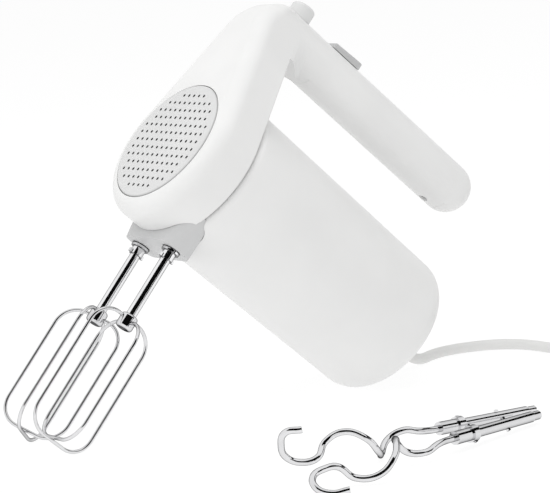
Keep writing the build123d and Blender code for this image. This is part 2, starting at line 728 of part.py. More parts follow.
def spindle(side):
    """Hollow spindle with slots for the beater's dogs."""
    x = side * HALF_SPACING
    body = pipe(SPINDLE_RADIUS, SHANK_RADIUS + FIT, (x, 0, 0), (x, 0, SPINDLE_TOP_Z))
    slot = DOG_WIDTH / 2 + CLEAR
    turn = Pos(x, 0, 0) * Rot(Z=cage_angle(side))
    return body - turn * block((-FAR, FAR), (-slot, slot), (-1, DOG_SLOT_DEPTH))


def cage_angle(side):
    """Angle of a beater's first wire loop."""
    return LEFT_CAGE_ANGLE if side < 0 else RIGHT_CAGE_ANGLE


def worm_gear(side):
    """Worm wheel on a spindle, with a tooth or a gap facing the worm."""
    x = side * HALF_SPACING
    step = 360.0 / GEAR_TEETH
    first = 180.0 + step / 2 if side > 0 else 0.0
    points = []
    for k in range(GEAR_TEETH):
        centre = math.radians(first + k * step)
        root = TOOTH_ROOT_WIDTH / 2 / GEAR_ROOT_RADIUS
        tip = TOOTH_TIP_WIDTH / 2 / GEAR_TIP_RADIUS
        corners = [
            (GEAR_ROOT_RADIUS, -root),
            (GEAR_TIP_RADIUS, -tip),
            (GEAR_TIP_RADIUS, tip),
            (GEAR_ROOT_RADIUS, root),
        ]
        for radius, turn in corners:
            points.append((radius * math.cos(centre + turn), radius * math.sin(centre + turn)))
    wheel = make_face(Polyline(*points, close=True))
    wheel = extrude(Pos(x, 0, MOTOR_AXIS_Z - GEAR_WIDTH / 2) * wheel, GEAR_WIDTH)
    half_hub = GEAR_HUB_LENGTH / 2
    wheel += rod(GEAR_HUB_RADIUS, (x, 0, MOTOR_AXIS_Z - half_hub), (x, 0, MOTOR_AXIS_Z + half_hub))
    return wheel - rod(SPINDLE_RADIUS + FIT, (x, 0, 0), (x, 0, SPINDLE_TOP_Z))


def armature_shaft():
    """Motor shaft, running from the frame's nose post to the rear bracket."""
    return motor_rod(SHAFT_RADIUS - FIT, NOSE_POST_FRONT_Y, SHAFT_REAR_Y)


def drive_worm():
    """Single-start worm on the shaft, between the two wheels."""
    half = WORM_PITCH * WORM_TURNS / 2
    sleeve_half = half + WORM_PITCH / 2
    base = SHAFT_RADIUS + FIT * 2
    helix = Pos(0, 0, -half) * Helix(WORM_PITCH, 2 * half, base)
    root = TOOTH_ROOT_WIDTH / 2
    tip = TOOTH_TIP_WIDTH / 2
    rise = WORM_TIP_RADIUS - base
    tooth = make_face(Polyline((-FIT, -root), (rise, -tip), (rise, tip), (-FIT, root), close=True))
    start = Plane(origin=(base, 0, -half), x_dir=(1, 0, 0), z_dir=(0, 1, 0))
    thread = sweep(start * Rot(X=180) * tooth, helix, is_frenet=True)
    turned = Pos(0, 0, MOTOR_AXIS_Z) * Rot(X=-90) * thread
    sleeve = motor_ring(base + FIT, SHAFT_RADIUS, -sleeve_half, sleeve_half)
    return turned + sleeve


def cooling_fan():
    """Radial fan behind the frame's plate."""
    fan = motor_rod(FAN_HUB_RADIUS, FAN_Y, FAN_Y + FAN_DEPTH)
    fan += motor_rod(FAN_RADIUS, FAN_Y + FAN_DEPTH - FAN_BLADE, FAN_Y + FAN_DEPTH)
    blade = block(
        (-FAN_BLADE / 2, FAN_BLADE / 2),
        (FAN_Y, FAN_Y + FAN_DEPTH),
        (MOTOR_AXIS_Z + FAN_HUB_RADIUS - 1, MOTOR_AXIS_Z + FAN_RADIUS - FAN_BLADE),
    )
    fan += around_motor(FAN_BLADES, blade)
    return fan - motor_rod(SHAFT_RADIUS, 0, FAN_Y + 2 * FAN_DEPTH)


def armature_core():
    """Slotted iron core of the rotor."""
    core = motor_ring(CORE_RADIUS, SHAFT_RADIUS, CORE_Y, CORE_Y + CORE_LENGTH)
    slot = block(
        (-CORE_SLOT_WIDTH / 2, CORE_SLOT_WIDTH / 2),
        (CORE_Y - 1, CORE_Y + CORE_LENGTH + 1),
        (MOTOR_AXIS_Z + CORE_RADIUS - CORE_SLOT_DEPTH, MOTOR_AXIS_Z + CORE_RADIUS + 1),
    )
    return core - around_motor(CORE_SLOTS, slot)


def armature_windings():
    """End turns of the rotor's winding, at both ends of its core."""
    rear = CORE_Y + CORE_LENGTH
    turns = []
    for front_y, rear_y in ((CORE_Y - END_TURN, CORE_Y), (rear, rear + END_TURN)):
        ring = motor_ring(END_TURN_RADIUS, SHAFT_RADIUS + 1, front_y, rear_y)
        turns.append(fillet(ring.edges().filter_by(GeomType.CIRCLE).group_by(SortBy.RADIUS)[-1], 2.5))
    return Compound(turns)


def commutator():
    """Copper commutator with cut segments."""
    ring = motor_ring(COMMUTATOR_RADIUS, SHAFT_RADIUS, COMMUTATOR_Y, COMMUTATOR_Y + COMMUTATOR_LENGTH)
    groove = block(
        (-COMMUTATOR_GROOVE / 2, COMMUTATOR_GROOVE / 2),
        (COMMUTATOR_Y - 1, COMMUTATOR_Y + COMMUTATOR_LENGTH + 1),
        (MOTOR_AXIS_Z + COMMUTATOR_RADIUS - 1, MOTOR_AXIS_Z + COMMUTATOR_RADIUS + 1),
    )
    return ring - around_motor(CORE_SLOTS, groove)


def bearing(front_y):
    """Plain bearing ring around the motor shaft."""
    return motor_ring(BEARING_RADIUS, SHAFT_RADIUS + FIT, front_y, front_y + BEARING_WIDTH)


def stator_core():
    """Iron ring with two poles, above and below the rotor."""
    inner = STATOR_RADIUS - STATOR_RING
    core = motor_ring(STATOR_RADIUS, inner, CORE_Y, CORE_Y + CORE_LENGTH)
    pole = block(
        (-POLE_HALF_WIDTH, POLE_HALF_WIDTH),
        (CORE_Y, CORE_Y + CORE_LENGTH),
        (MOTOR_AXIS_Z, MOTOR_AXIS_Z + inner + STATOR_RING / 2),
    )
    for copy in around_motor(2, pole):
        core += copy
    return core - motor_rod(CORE_RADIUS + AIR_GAP, CORE_Y - 1, CORE_Y + CORE_LENGTH + 1)


def field_coils():
    """Two copper coils, one around each pole."""
    reach = POLE_HALF_WIDTH + CLEAR
    length = (CORE_Y - COIL_OVERHANG, CORE_Y + CORE_LENGTH + COIL_OVERHANG)
    low = MOTOR_AXIS_Z + CORE_RADIUS + 2 * AIR_GAP
    heights = (low, low + COIL_DEPTH)
    coil = block((-reach - COIL_WIDTH, reach + COIL_WIDTH), length, heights)
    coil -= block(
        (-reach, reach),
        (CORE_Y - CLEAR, CORE_Y + CORE_LENGTH + CLEAR),
        (low - 1, low + COIL_DEPTH + 1),
    )
    coil = fillet(coil.edges().filter_by(Axis.Z).group_by(SortBy.DISTANCE)[-1], COIL_WIDTH / 2)
    return Compound(around_motor(2, coil))


def rear_bracket():
    """Bar across the housing that carries the rear bearing and the brush holders."""
    reach = housing_radius(BRACKET_Y + BRACKET) - SHELL_WALL - CLEAR
    bar = block(
        (-BRACKET_HALF_WIDTH, BRACKET_HALF_WIDTH),
        (BRACKET_Y, BRACKET_Y + BRACKET),
        (0, 2 * MOTOR_AXIS_Z),
    )
    bar += block(
        (-2 * HALF_SPACING, 2 * HALF_SPACING),
        (BRACKET_Y, BRACKET_Y + BRACKET),
        (MOTOR_AXIS_Z - BRUSH_SIDE, MOTOR_AXIS_Z + BRUSH_SIDE),
    )
    bar = bar & motor_rod(reach, BRACKET_Y, BRACKET_Y + BRACKET)
    return bar - motor_rod(BEARING_RADIUS + FIT, BRACKET_Y - 1, BRACKET_Y + BRACKET + 1)


def brush_block(side, half_height, depth_range, inner, outer):
    """Block beside the commutator, on one side of the shaft."""
    ends = sorted((side * inner, side * outer))
    return block(ends, depth_range, (MOTOR_AXIS_Z - half_height, MOTOR_AXIS_Z + half_height))


def carbon_brushes():
    """Two brushes that run on the commutator."""
    half = BRUSH_SIDE / 2
    middle = COMMUTATOR_Y + COMMUTATOR_LENGTH / 2
    outer = COMMUTATOR_RADIUS + BRUSH_LENGTH
    brushes = []
    for side, _ in SIDES:
        brush = brush_block(side, half, (middle - half, middle + half), COMMUTATOR_RADIUS / 2, outer)
        brushes.append(brush - motor_rod(COMMUTATOR_RADIUS + RUN, COMMUTATOR_Y - 1, BRACKET_Y))
    return Compound(brushes)


def brush_holders():
    """Two square guides around the brushes, on the rear bracket."""
    half = BRUSH_SIDE / 2 + FIT
    middle = COMMUTATOR_Y + COMMUTATOR_LENGTH / 2
    inner = COMMUTATOR_RADIUS + HOLDER_WALL
    outer = COMMUTATOR_RADIUS + BRUSH_LENGTH + HOLDER_WALL
    holders = []
    for side, _ in SIDES:
        holder = brush_block(
            side,
            half + HOLDER_WALL,
            (middle - half - HOLDER_WALL, BRACKET_Y),
            inner,
            outer,
        )
        holders.append(
            holder - brush_block(
                side,
                half,
                (middle - half, middle + half),
                inner - 1,
                outer - HOLDER_WALL,
            ),
        )
    return Compound(holders)


def eject_button():
    """Round push button on top of the arm, with a flange inside."""
    cap = rod(BUTTON_RADIUS, (0, BUTTON_Y, BUTTON_FLANGE_Z), (0, BUTTON_Y, BUTTON_TOP_Z))
    cap = fillet(cap.edges().sort_by(Axis.Z)[-1], BUTTON_EDGE_ROUND)
    flange_top = BUTTON_FLANGE_Z + BUTTON_FLANGE
    return cap + rod(BUTTON_FLANGE_RADIUS, (0, BUTTON_Y, BUTTON_FLANGE_Z), (0, BUTTON_Y, flange_top))


def ejector_rod():
    """Push rod from the button down the arm, with a yoke over both spindles."""
    arm_z = (BUTTON_FLANGE_Z - EJECT_ARM, BUTTON_FLANGE_Z)
    front = EJECT_ROD_Y - EJECT_ROD_RADIUS
    linkage = block(
        (-EJECT_ARM_HALF_WIDTH, EJECT_ARM_HALF_WIDTH),
        (front, SPRING_Y + SPRING_SEAT_RADIUS),
        arm_z,
    )
    linkage += rod(EJECT_ROD_RADIUS, (0, EJECT_ROD_Y, YOKE_Z), (0, EJECT_ROD_Y, BUTTON_FLANGE_Z))
    linkage += block((-YOKE_HALF_WIDTH, YOKE_HALF_WIDTH), (front, YOKE_REAR_Y), (YOKE_Z, YOKE_Z + YOKE))
    for side, _ in SIDES:
        x = side * HALF_SPACING
        linkage += rod(PUSH_PIN_RADIUS, (x, 0, SHANK_TOP_Z + PUSH_GAP), (x, 0, YOKE_Z + YOKE))
    return linkage


def eject_spring():
    """Coil spring that lifts the push button back."""
    top = BUTTON_FLANGE_Z - EJECT_ARM - SPRING_WIRE
    foot = SPRING_SEAT_Z + SPRING_WIRE
    height = top - foot
    helix = Pos(0, SPRING_Y, foot) * Helix(height / SPRING_TURNS, height, SPRING_RADIUS)
    start = Plane(origin=helix @ 0, z_dir=helix % 0)
    return sweep(start * Circle(SPRING_WIRE), helix, is_frenet=True)


def speed_knob():
    """Wedge-shaped thumb slider on top of the handle."""
    low = HANDLE_AXIS_Z
    outline = make_face(Polyline(
        (KNOB_FRONT_Y, low),
        (KNOB_FRONT_Y, HANDLE_TOP_Z + KNOB_FRONT_RISE),
        (KNOB_REAR_Y - KNOB_REAR_RISE, HANDLE_TOP_Z + KNOB_REAR_RISE),
        (KNOB_REAR_Y, HANDLE_TOP_Z + KNOB_REAR_RISE),
        (KNOB_REAR_Y, low),
        close=True,
    ))
    knob = extrude(Plane.YZ * outline, KNOB_HALF_WIDTH, both=True)
    across = [e for e in knob.edges().filter_by(Axis.X) if e.center().Z > HANDLE_TOP_Z]
    knob = fillet(across, KNOB_EDGE_ROUND)
    tops = [f for f in knob.faces() if f.normal_at().Z > 0.3]
    top_edges = [edge for face in tops for edge in face.edges()]
    rim = [e for e in top_edges if abs(e.center().X) > KNOB_HALF_WIDTH - FIT]
    knob = fillet(rim, KNOB_EDGE_ROUND)
    ride = rod(
        HANDLE_RADIUS + KNOB_GAP,
        (0, KNOB_FRONT_Y - 1, HANDLE_AXIS_Z),
        (0, KNOB_REAR_Y + 1, HANDLE_AXIS_Z),
    )
    knob -= ride
    neck = block(
        (-NECK_HALF_WIDTH, NECK_HALF_WIDTH),
        (NECK_FRONT_Y, NECK_REAR_Y),
        (CARRIAGE_Z + CARRIAGE, HANDLE_TOP_Z + KNOB_FRONT_RISE),
    )
    return knob + neck


def slider_carriage():
    """Plate inside the handle that the slider's neck carries over the switch."""
    return block(
        (-CARRIAGE_HALF_WIDTH, CARRIAGE_HALF_WIDTH),
        (NECK_FRONT_Y - CARRIAGE_OVERLAP, NECK_REAR_Y + CARRIAGE_OVERLAP),
        (CARRIAGE_Z, CARRIAGE_Z + CARRIAGE),
    )


def switch_block():
    """Speed switch inside the handle."""
    body = block(
        (-SWITCH_HALF_WIDTH, SWITCH_HALF_WIDTH),
        (SWITCH_FRONT_Y, SWITCH_REAR_Y),
        (SWITCH_FOOT_Z, SWITCH_TOP_Z),
    )
    return body & rod(
        HANDLE_BORE - CLEAR,
        (0, SWITCH_FRONT_Y, HANDLE_AXIS_Z),
        (0, SWITCH_REAR_Y, HANDLE_AXIS_Z),
    )


def beater_shank(side):
    """Steel rod from the spindle down to the wire cage."""
    x = side * HALF_SPACING
    foot = CAGE_TOP_Z + WIRE_RADIUS + CLEAR
    return rod(SHANK_RADIUS, (x, 0, foot), (x, 0, SHANK_TOP_Z))


def drive_collar(side):
    """Pressed collar with a flange, two ears and two dogs for the spindle."""
    x = side * HALF_SPACING
    foot = FLANGE_TOP_Z - FLANGE
    collar = rod(FLANGE_RADIUS, (x, 0, foot), (x, 0, FLANGE_TOP_Z))
    collar += rod(SLEEVE_RADIUS, (x, 0, SLEEVE_FOOT_Z), (x, 0, foot))
    collar += Pos(x, 0, 0) * block(
 
            (-EAR_WIDTH / 2, EAR_WIDTH / 2),
            (-EAR_REACH, EAR_REACH),
            (SLEEVE_FOOT_Z, SLEEVE_FOOT_Z + EAR_HEIGHT),
        )
    dog = block(
        (SHANK_RADIUS + CLEAR, SPINDLE_RADIUS),
        (-DOG_WIDTH / 2, DOG_WIDTH / 2),
        (foot, FLANGE_TOP_Z + DOG_HEIGHT),
    )
    for turn in (0, 180):
        collar += Pos(x, 0, 0) * Rot(Z=cage_angle(side) + turn) * dog
    return collar - rod(SHANK_RADIUS + FIT, (x, 0, SLEEVE_FOOT_Z - 1), (x, 0, FLANGE_TOP_Z + 1))


def loop_wire(side, nested, radius):
    """Closed wire loop of a beater cage; the nested loop lies inside the other."""
    inset = LOOP_STEP if nested else 0.0
    top = CAGE_TOP_Z - inset
    tip = CAGE_TIP_Z + WIRE_RADIUS + inset
    reach = CAGE_RADIUS - WIRE_RADIUS
    plane = Plane(origin=(0, 0, 0), x_dir=(1, 0, 0), z_dir=(0, -1, 0))
    outline = Pos(0, (top + tip) / 2) * RectangleRounded(2 * reach, top - tip, CAGE_CORNER)
    path = (plane * outline).wire()
    start = Plane(origin=path @ 0, z_dir=path % 0)
    loop = sweep(start * Circle(radius), path)
    turn = cage_angle(side) + (90.0 if nested else 0.0)
    return Pos(side * HALF_SPACING, 0, 0) * Rot(Z=turn) * loop


def cage_collar(side):
    """Barrel that clamps both wire loops to the shank."""
    x = side * HALF_SPACING
    foot = CAGE_COLLAR_TOP_Z - CAGE_COLLAR_LENGTH
    barrel = rod(CAGE_COLLAR_RADIUS, (x, 0, foot), (x, 0, CAGE_COLLAR_TOP_Z))
    barrel = fillet(barrel.edges().filter_by(GeomType.CIRCLE), CAGE_COLLAR_ROUND)
    barrel -= rod(SHANK_RADIUS + FIT, (x, 0, CAGE_TOP_Z + WIRE_RADIUS), (x, 0, CAGE_COLLAR_TOP_Z + 1))
    for nested in (False, True):
        z = CAGE_TOP_Z - (LOOP_STEP if nested else 0.0)
        turn = math.radians(cage_angle(side) + (90.0 if nested else 0.0))
        reach = Vector(math.cos(turn), math.sin(turn), 0) * CAGE_RADIUS
        middle = Vector(x, 0, z)
        barrel -= rod(WIRE_RADIUS + FIT, middle - reach, middle + reach)
    return barrel


def biarc(start, heading, end, end_heading):
    """Two tangent arcs that join two points with given headings."""
    gap = end - start
    both = heading + end_heading
    square = both.dot(both) - 4.0
    along = gap.dot(both)
    if abs(square) < 1e-9:
        reach = gap.dot(gap) / (2.0 * along)
    else:
        reach = (along - math.sqrt(along * along - square * gap.dot(gap))) / square
    middle = (start + heading * reach + end - end_heading * reach) / 2
    first = TangentArc(start, middle, tangent=heading)
    return [first, TangentArc(middle, end, tangent=first % 1)]


def hook_curve():
    """Points and headings of the hook's wire: a spiral that ends in a curl."""
    def spiral(share):
        ramp = min(share / HOOK_RUN_IN, 1.0)
        radius = HOOK_SPIRAL_RADIUS * ramp * ramp * (3.0 - 2.0 * ramp)
        turn = math.tau * HOOK_TURNS * share
        return Vector(HOOK_PITCH * HOOK_TURNS * share, radius * math.cos(turn), radius * math.sin(turn))

    def spiral_heading(share):
        step = 1e-4
        return (spiral(share + step) - spiral(share - step)).normalized()

    shares = [HOOK_SPIRAL_SHARE * k / HOOK_STEPS for k in range(HOOK_STEPS + 1)]
    points = [spiral(s) for s in shares]
    headings = [Vector(1, 0, 0)] + [spiral_heading(s) for s in shares[1:]]
    turn = math.tau * HOOK_TURNS
    outward = Vector(0, math.cos(turn), math.sin(turn))
    around = Vector(0, -math.sin(turn), math.cos(turn))
    side = math.radians(CURL_SIDE_ANGLE)
    lift = math.radians(CURL_LIFT_ANGLE)
    roll = math.radians(CURL_ROLL)
    flat = Vector(1, 0, 0) * math.cos(side) + around * math.sin(side)
    leave = flat * math.cos(lift) + outward * math.sin(lift)
    across = leave.cross(outward).normalized()
    inward = across.cross(leave) * math.cos(roll) + across * math.sin(roll)
    corner = spiral(1.0)
    for k in range(CURL_STEPS + 1):
        share = CURL_FIRST_SHARE + (1.0 - CURL_FIRST_SHARE) * k / CURL_STEPS
        sweep_angle = math.radians(CURL_SWEEP) * share
        sine = math.sin(sweep_angle)
        cosine = math.cos(sweep_angle)
        points.append(corner + (leave * sine + inward * (1.0 - cosine)) * CURL_RADIUS)
        headings.append(leave * cosine + inward * sine)
    return points, headings


def hook_wire():
    """Bent wire of a dough hook, along its own X axis."""
    points, headings = hook_curve()
    start = Vector(-HOOK_STRAIGHT, 0, 0)
    edges = [Line(start, points[0])]
    for k in range(len(points) - 1):
        edges += biarc(points[k], headings[k], points[k + 1], headings[k + 1])
    section = Plane(origin=start, z_dir=headings[0]) * Circle(HOOK_WIRE_RADIUS)
    return sweep(section, Wire(edges))


def hook_shank():
    """Straight stem of a dough hook, with a sleeve and a narrow tip."""
    front = -HOOK_STRAIGHT
    tip = front - HOOK_SHANK_LENGTH
    stem_end = tip + HOOK_TIP_LENGTH
    stem = rod(SHANK_RADIUS, (front, 0, 0), (stem_end, 0, 0))
    stem += rod(HOOK_SLEEVE_RADIUS, (front, 0, 0), (front - HOOK_SLEEVE_LENGTH, 0, 0))
    stem += rod(HOOK_TIP_RADIUS, (stem_end, 0, 0), (tip, 0, 0))
    stud = front - HOOK_STUD_DISTANCE
    reach = SHANK_RADIUS + EAR_HEIGHT / 2
    stem += block(
        (stud - EAR_WIDTH / 2, stud + EAR_WIDTH / 2),
        (-EAR_WIDTH / 2, EAR_WIDTH / 2),
        (-reach, reach),
    )
    return stem


def hook_collar():
    """Pressed collar with two ears on a dough hook's stem."""
    front = -HOOK_STRAIGHT - HOOK_SLEEVE_LENGTH
    rear = front - HOOK_COLLAR_LENGTH
    collar = rod(SHANK_RADIUS + HOLDER_WALL, (front, 0, 0), (rear, 0, 0))
    middle = (front + rear) / 2
    ear = EAR_WIDTH / 2
    collar += block((middle - ear, middle + ear), (-ear, ear), (-HOOK_COLLAR_RADIUS, HOOK_COLLAR_RADIUS))
    return collar - rod(SHANK_RADIUS + FIT, (front + 1, 0, 0), (rear - 1, 0, 0))


def lay_hook(pieces, place, heading, rise, turn, mirrored):
    """Lay a dough hook's pieces on the table."""
    around = math.radians(heading)
    up = math.radians(rise)
    along = Vector(math.cos(around) * math.cos(up), math.sin(around) * math.cos(up), math.sin(up))
    level = Vector(-math.sin(around), math.cos(around), 0)
    plane = Plane(origin=(place[0], place[1], 0), x_dir=along, z_dir=along.cross(level))
    laid = {}
    for name, solid in pieces.items():
        if mirrored:
            solid = mirror(solid, Plane.XY)
        laid[name] = plane.location * Rot(X=-turn if mirrored else turn) * solid
    low = min(solid.bounding_box().min.Z for solid in laid.values())
    return {name: Pos(0, 0, -low) * solid for name, solid in laid.items()}


def down_reach(down):
    """How far the heel and each beater reach in a direction."""
    heel = (HOUSING_END_Y - HEEL_ROUND) * down.Y + MOTOR_AXIS_Z * down.Z + HEEL_ROUND
    heel += (HOUSING_REAR_RADIUS - HEEL_ROUND) * math.hypot(down.X, down.Z)
    reaches = [heel]
    for side, _ in SIDES:
        best = -FAR
        for nested in (False, True):
            turn = math.radians(cage_angle(side) + (90.0 if nested else 0.0))
            across = abs(math.cos(turn) * down.X + math.sin(turn) * down.Y)
            tip = CAGE_TIP_Z + WIRE_RADIUS + (LOOP_STEP if nested else 0.0)
            reach = side * HALF_SPACING * down.X + (tip + CAGE_CORNER) * down.Z + WIRE_RADIUS
            reach += (CAGE_RADIUS - WIRE_RADIUS - CAGE_CORNER) * across
            reach += CAGE_CORNER * math.hypot(across, down.Z)
            best = max(best, reach)
        reaches.append(best)
    return reaches


def downward(lean, tilt):
    """Direction of gravity in the upright frame, for a lean about X and then a tilt about Y."""
    lean = math.radians(lean)
    tilt = math.radians(tilt)
    return Vector(math.sin(tilt), math.cos(tilt) * math.sin(lean), -math.cos(tilt) * math.cos(lean))


def resting_pose():
    """Lean, tilt and height at which the heel and both beaters touch the table."""
    lean = 40.0
    tilt = 0.0

    def gaps(a, b):
        heel, left, right = down_reach(downward(a, b))
        return left - heel, right - heel

    step = 1e-4
    for _ in range(30):
        left, right = gaps(lean, tilt)
        by_lean = gaps(lean + step, tilt)
        by_tilt = gaps(lean, tilt + step)
        a = (by_lean[0] - left) / step
        b = (by_tilt[0] - left) / step
        c = (by_lean[1] - right) / step
        d = (by_tilt[1] - right) / step
        det = a * d - b * c
        lean -= (left * d - right * b) / det
        tilt -= (right * a - left * c) / det
    return lean, tilt, down_reach(downward(lean, tilt))[0]


LEAN, TILT, HEIGHT = resting_pose()
RESTING = Pos(0, 0, HEIGHT) * Rot(Y=TILT) * Rot(X=-LEAN)


def on_table(point):
    """Where a point of the upright mixer lies when it rests on the table."""
    return (RESTING * Pos(*point)).position


def cord_gland():
    """Tapered strain relief in the housing's rear end, with a flange inside."""
    wall = HOUSING_END_Y - SHELL_WALL
    collar = HOUSING_END_Y + GLAND_COLLAR
    outline = make_face(Polyline(
        (wall - GLAND_FLANGE, 0),
        (wall - GLAND_FLANGE, GLAND_FLANGE_RADIUS),
        (wall, GLAND_FLANGE_RADIUS),
        (wall, GLAND_NECK_RADIUS),
        (HOUSING_END_Y, GLAND_NECK_RADIUS),
        (HOUSING_END_Y, GLAND_ROOT_RADIUS),
        (collar, GLAND_ROOT_RADIUS),
        (HOUSING_END_Y + GLAND_LENGTH, GLAND_TIP_RADIUS),
        (HOUSING_END_Y + GLAND_LENGTH, 0),
        close=True,
    ))
    return Pos(GLAND_X, 0, MOTOR_AXIS_Z) * revolve(Plane.YZ * outline, Axis.Y)


def cord_section():
    """Faceted section of the lead, with flats below and above."""
    return RegularPolygon(CORD_RADIUS, CORD_SIDES, major_radius=False, rotation=180.0 / CORD_SIDES)


def cord_points():
    """Route of the free lead from the gland to the start of the coil."""
    leave = on_table((GLAND_X, HOUSING_END_Y + GLAND_LENGTH, MOTOR_AXIS_Z))
    ahead = on_table((GLAND_X, HOUSING_END_Y + GLAND_LENGTH + CORD_RADIUS, MOTOR_AXIS_Z)) - leave
    touch = leave + ahead * ((CORD_FLOOR_Z - leave.Z) / ahead.Z)
    start = coil_start()
    before = start - Vector(5.0 * CORD_RADIUS, 0, 0)
    return [leave, touch] + [Vector(x, y, CORD_FLOOR_Z) for x, y in CORD_ROUTE] + [before, start]


def cord_path():
    """Straight runs joined by arcs as large as the runs allow."""
    points = cord_points()
    radii = []
    last = len(points) - 2
    for k in range(1, last + 1):
        run_in = points[k] - points[k - 1]
        run_out = points[k + 1] - points[k]
        half = math.radians(run_in.get_angle(run_out)) / 2
        free_in = run_in.length * (0.9 if k == 1 else 0.45)
        free_out = run_out.length * (0.9 if k == last else 0.45)
        radii.append(min(free_in, free_out) / math.tan(half))
    print("lead radii", [round(r, 1) for r in radii])
    return FilletPolyline(*points, radius=radii)


def tube_along(path, start, heading, up):
    """Faceted tube swept along a path."""
    side = up.cross(heading).normalized()
    plane = Plane(origin=start, x_dir=side, z_dir=heading)
    return sweep(plane * cord_section(), path)


def cord_lead():
    """Free stretch of the lead."""
    points = cord_points()
    path = cord_path()
    heading = (points[1] - points[0]).normalized()
    lead = tube_along(path, points[0], heading, Vector(0, 0, 1))
    section = cord_section().area
    print(
        "lead length",
        round(path.length, 1),
        "volume share",
        round(lead.volume / (section * path.length), 4),
    )
    return lead


def coil_start():
    """Point where the free lead becomes the coil."""
    return Vector(COIL_CENTRE[0] - 2 * CORD_RADIUS, COIL_CENTRE[1] - COIL_OUTER_RADIUS, COIL_Z)


def coil_path():
    """Spiral in, climb a layer in half a turn, spiral out and leave in a straight tail."""
    x, y = COIL_CENTRE
    shrink = COIL_TURN_STEP / 2
    z = COIL_Z
    radius = COIL_OUTER_RADIUS
    point = Vector(x, y - radius, z)
    forward = 1.0
    edges = [Line(coil_start(), point)]
    steps = [-shrink] * COIL_INWARD_HALF_TURNS + [shrink] + [shrink] * COIL_OUTWARD_HALF_TURNS
    for k, step in enumerate(steps):
        climb = COIL_LAYER_STEP if k == COIL_INWARD_HALF_TURNS else 0.0
        end = point + Vector(0, forward * 2 * radius, climb)
        edges += biarc(point, Vector(forward, 0, 0), end, Vector(-forward, 0, 0))
        point = end
        forward = -forward
        radius += step
    tail = point + Vector(forward * COIL_TAIL, 0, 0)
    edges.append(Line(point, tail))
    return Wire(edges), tail, Vector(forward, 0, 0)


def least_gap(path, spacing, skip):
    """Smallest distance between stretches of a path that lie apart along it."""
    count = int(path.length / spacing)
    points = [path @ (k / count) for k in range(count + 1)]
    far = int(skip / spacing)
    return min((points[i] - points[j]).length for i in range(count) for j in range(i + far, count + 1))


def cord_coil():
    """Coil of the lead that is put away."""
    path, _, _ = coil_path()
    coil = tube_along(path, coil_start(), Vector(1, 0, 0), Vector(0, 0, 1))
    section = cord_section().area
    corner = CORD_RADIUS / math.cos(math.pi / CORD_SIDES)
    gap = least_gap(path, 4.0, 60.0) - 2 * corner
    print(
        "coil length",
        round(path.length, 1),
        "volume share",
        round(coil.volume / (section * path.length), 4),
    )
    print("coil least gap", round(gap, 2))
    return coil


def cord_tie():
    """Band around the coil's turns, on the side away from the tail."""
    turns = COIL_INWARD_HALF_TURNS // 2
    reach = CORD_RADIUS / math.cos(math.pi / CORD_SIDES) + TIE_GAP
    outer = COIL_OUTER_RADIUS + reach
    inner = COIL_OUTER_RADIUS - turns * COIL_TURN_STEP - reach
    low = FLOOR_GAP + TIE_THICKNESS
    high = COIL_Z + COIL_LAYER_STEP + reach
    width = outer - inner
    height = high - low
    band = RectangleRounded(width + 2 * TIE_THICKNESS, height + 2 * TIE_THICKNESS, TIE_ROUND)
    band -= RectangleRounded(width, height, TIE_ROUND - TIE_THICKNESS)
    plane = Plane(
        origin=(COIL_CENTRE[0] + TIE_WIDTH / 2, COIL_CENTRE[1], 0),
        x_dir=(0, 1, 0),
        z_dir=(1, 0, 0),
    )
    middle = ((outer + inner) / 2, (low + high) / 2)
    return extrude(plane * Pos(*middle) * band, -TIE_WIDTH)


def plug_frame():
    """Plane at the plug's rear end, with its normal along the pins."""
    _, tail, forward = coil_path()
    return Plane(origin=tail, x_dir=Vector(0, 1, 0), z_dir=forward)


def plug_body():
    """Moulded two-pin plug with a tapered neck."""
    plane = plug_frame()
    half = plane.origin.Z - FLOOR_GAP
    front = Pos(0, 0, PLUG_NECK) * RectangleRounded(PLUG_WIDTH, 2 * half, half * 0.98)
    neck = loft([Circle(PLUG_NECK_RADIUS), Pos(0, 0, PLUG_NECK) * Circle(half * 0.8)], ruled=True)
    return plane.location * (extrude(front, PLUG_LENGTH) + neck)


def plug_pins():
    """Two round contact pins."""
    plane = plug_frame()
    foot = PLUG_NECK + PLUG_LENGTH
    pins = []
    for side, _ in SIDES:
        pin = rod(
            PIN_RADIUS,
            (side * PIN_SPACING / 2, 0, foot),
            (side * PIN_SPACING / 2, 0, foot + PIN_LENGTH),
        )
        pins.append(plane.location * fillet(pin.edges().sort_by(Axis.Z)[-1], PIN_RADIUS * 0.6))
    return Compound(pins)


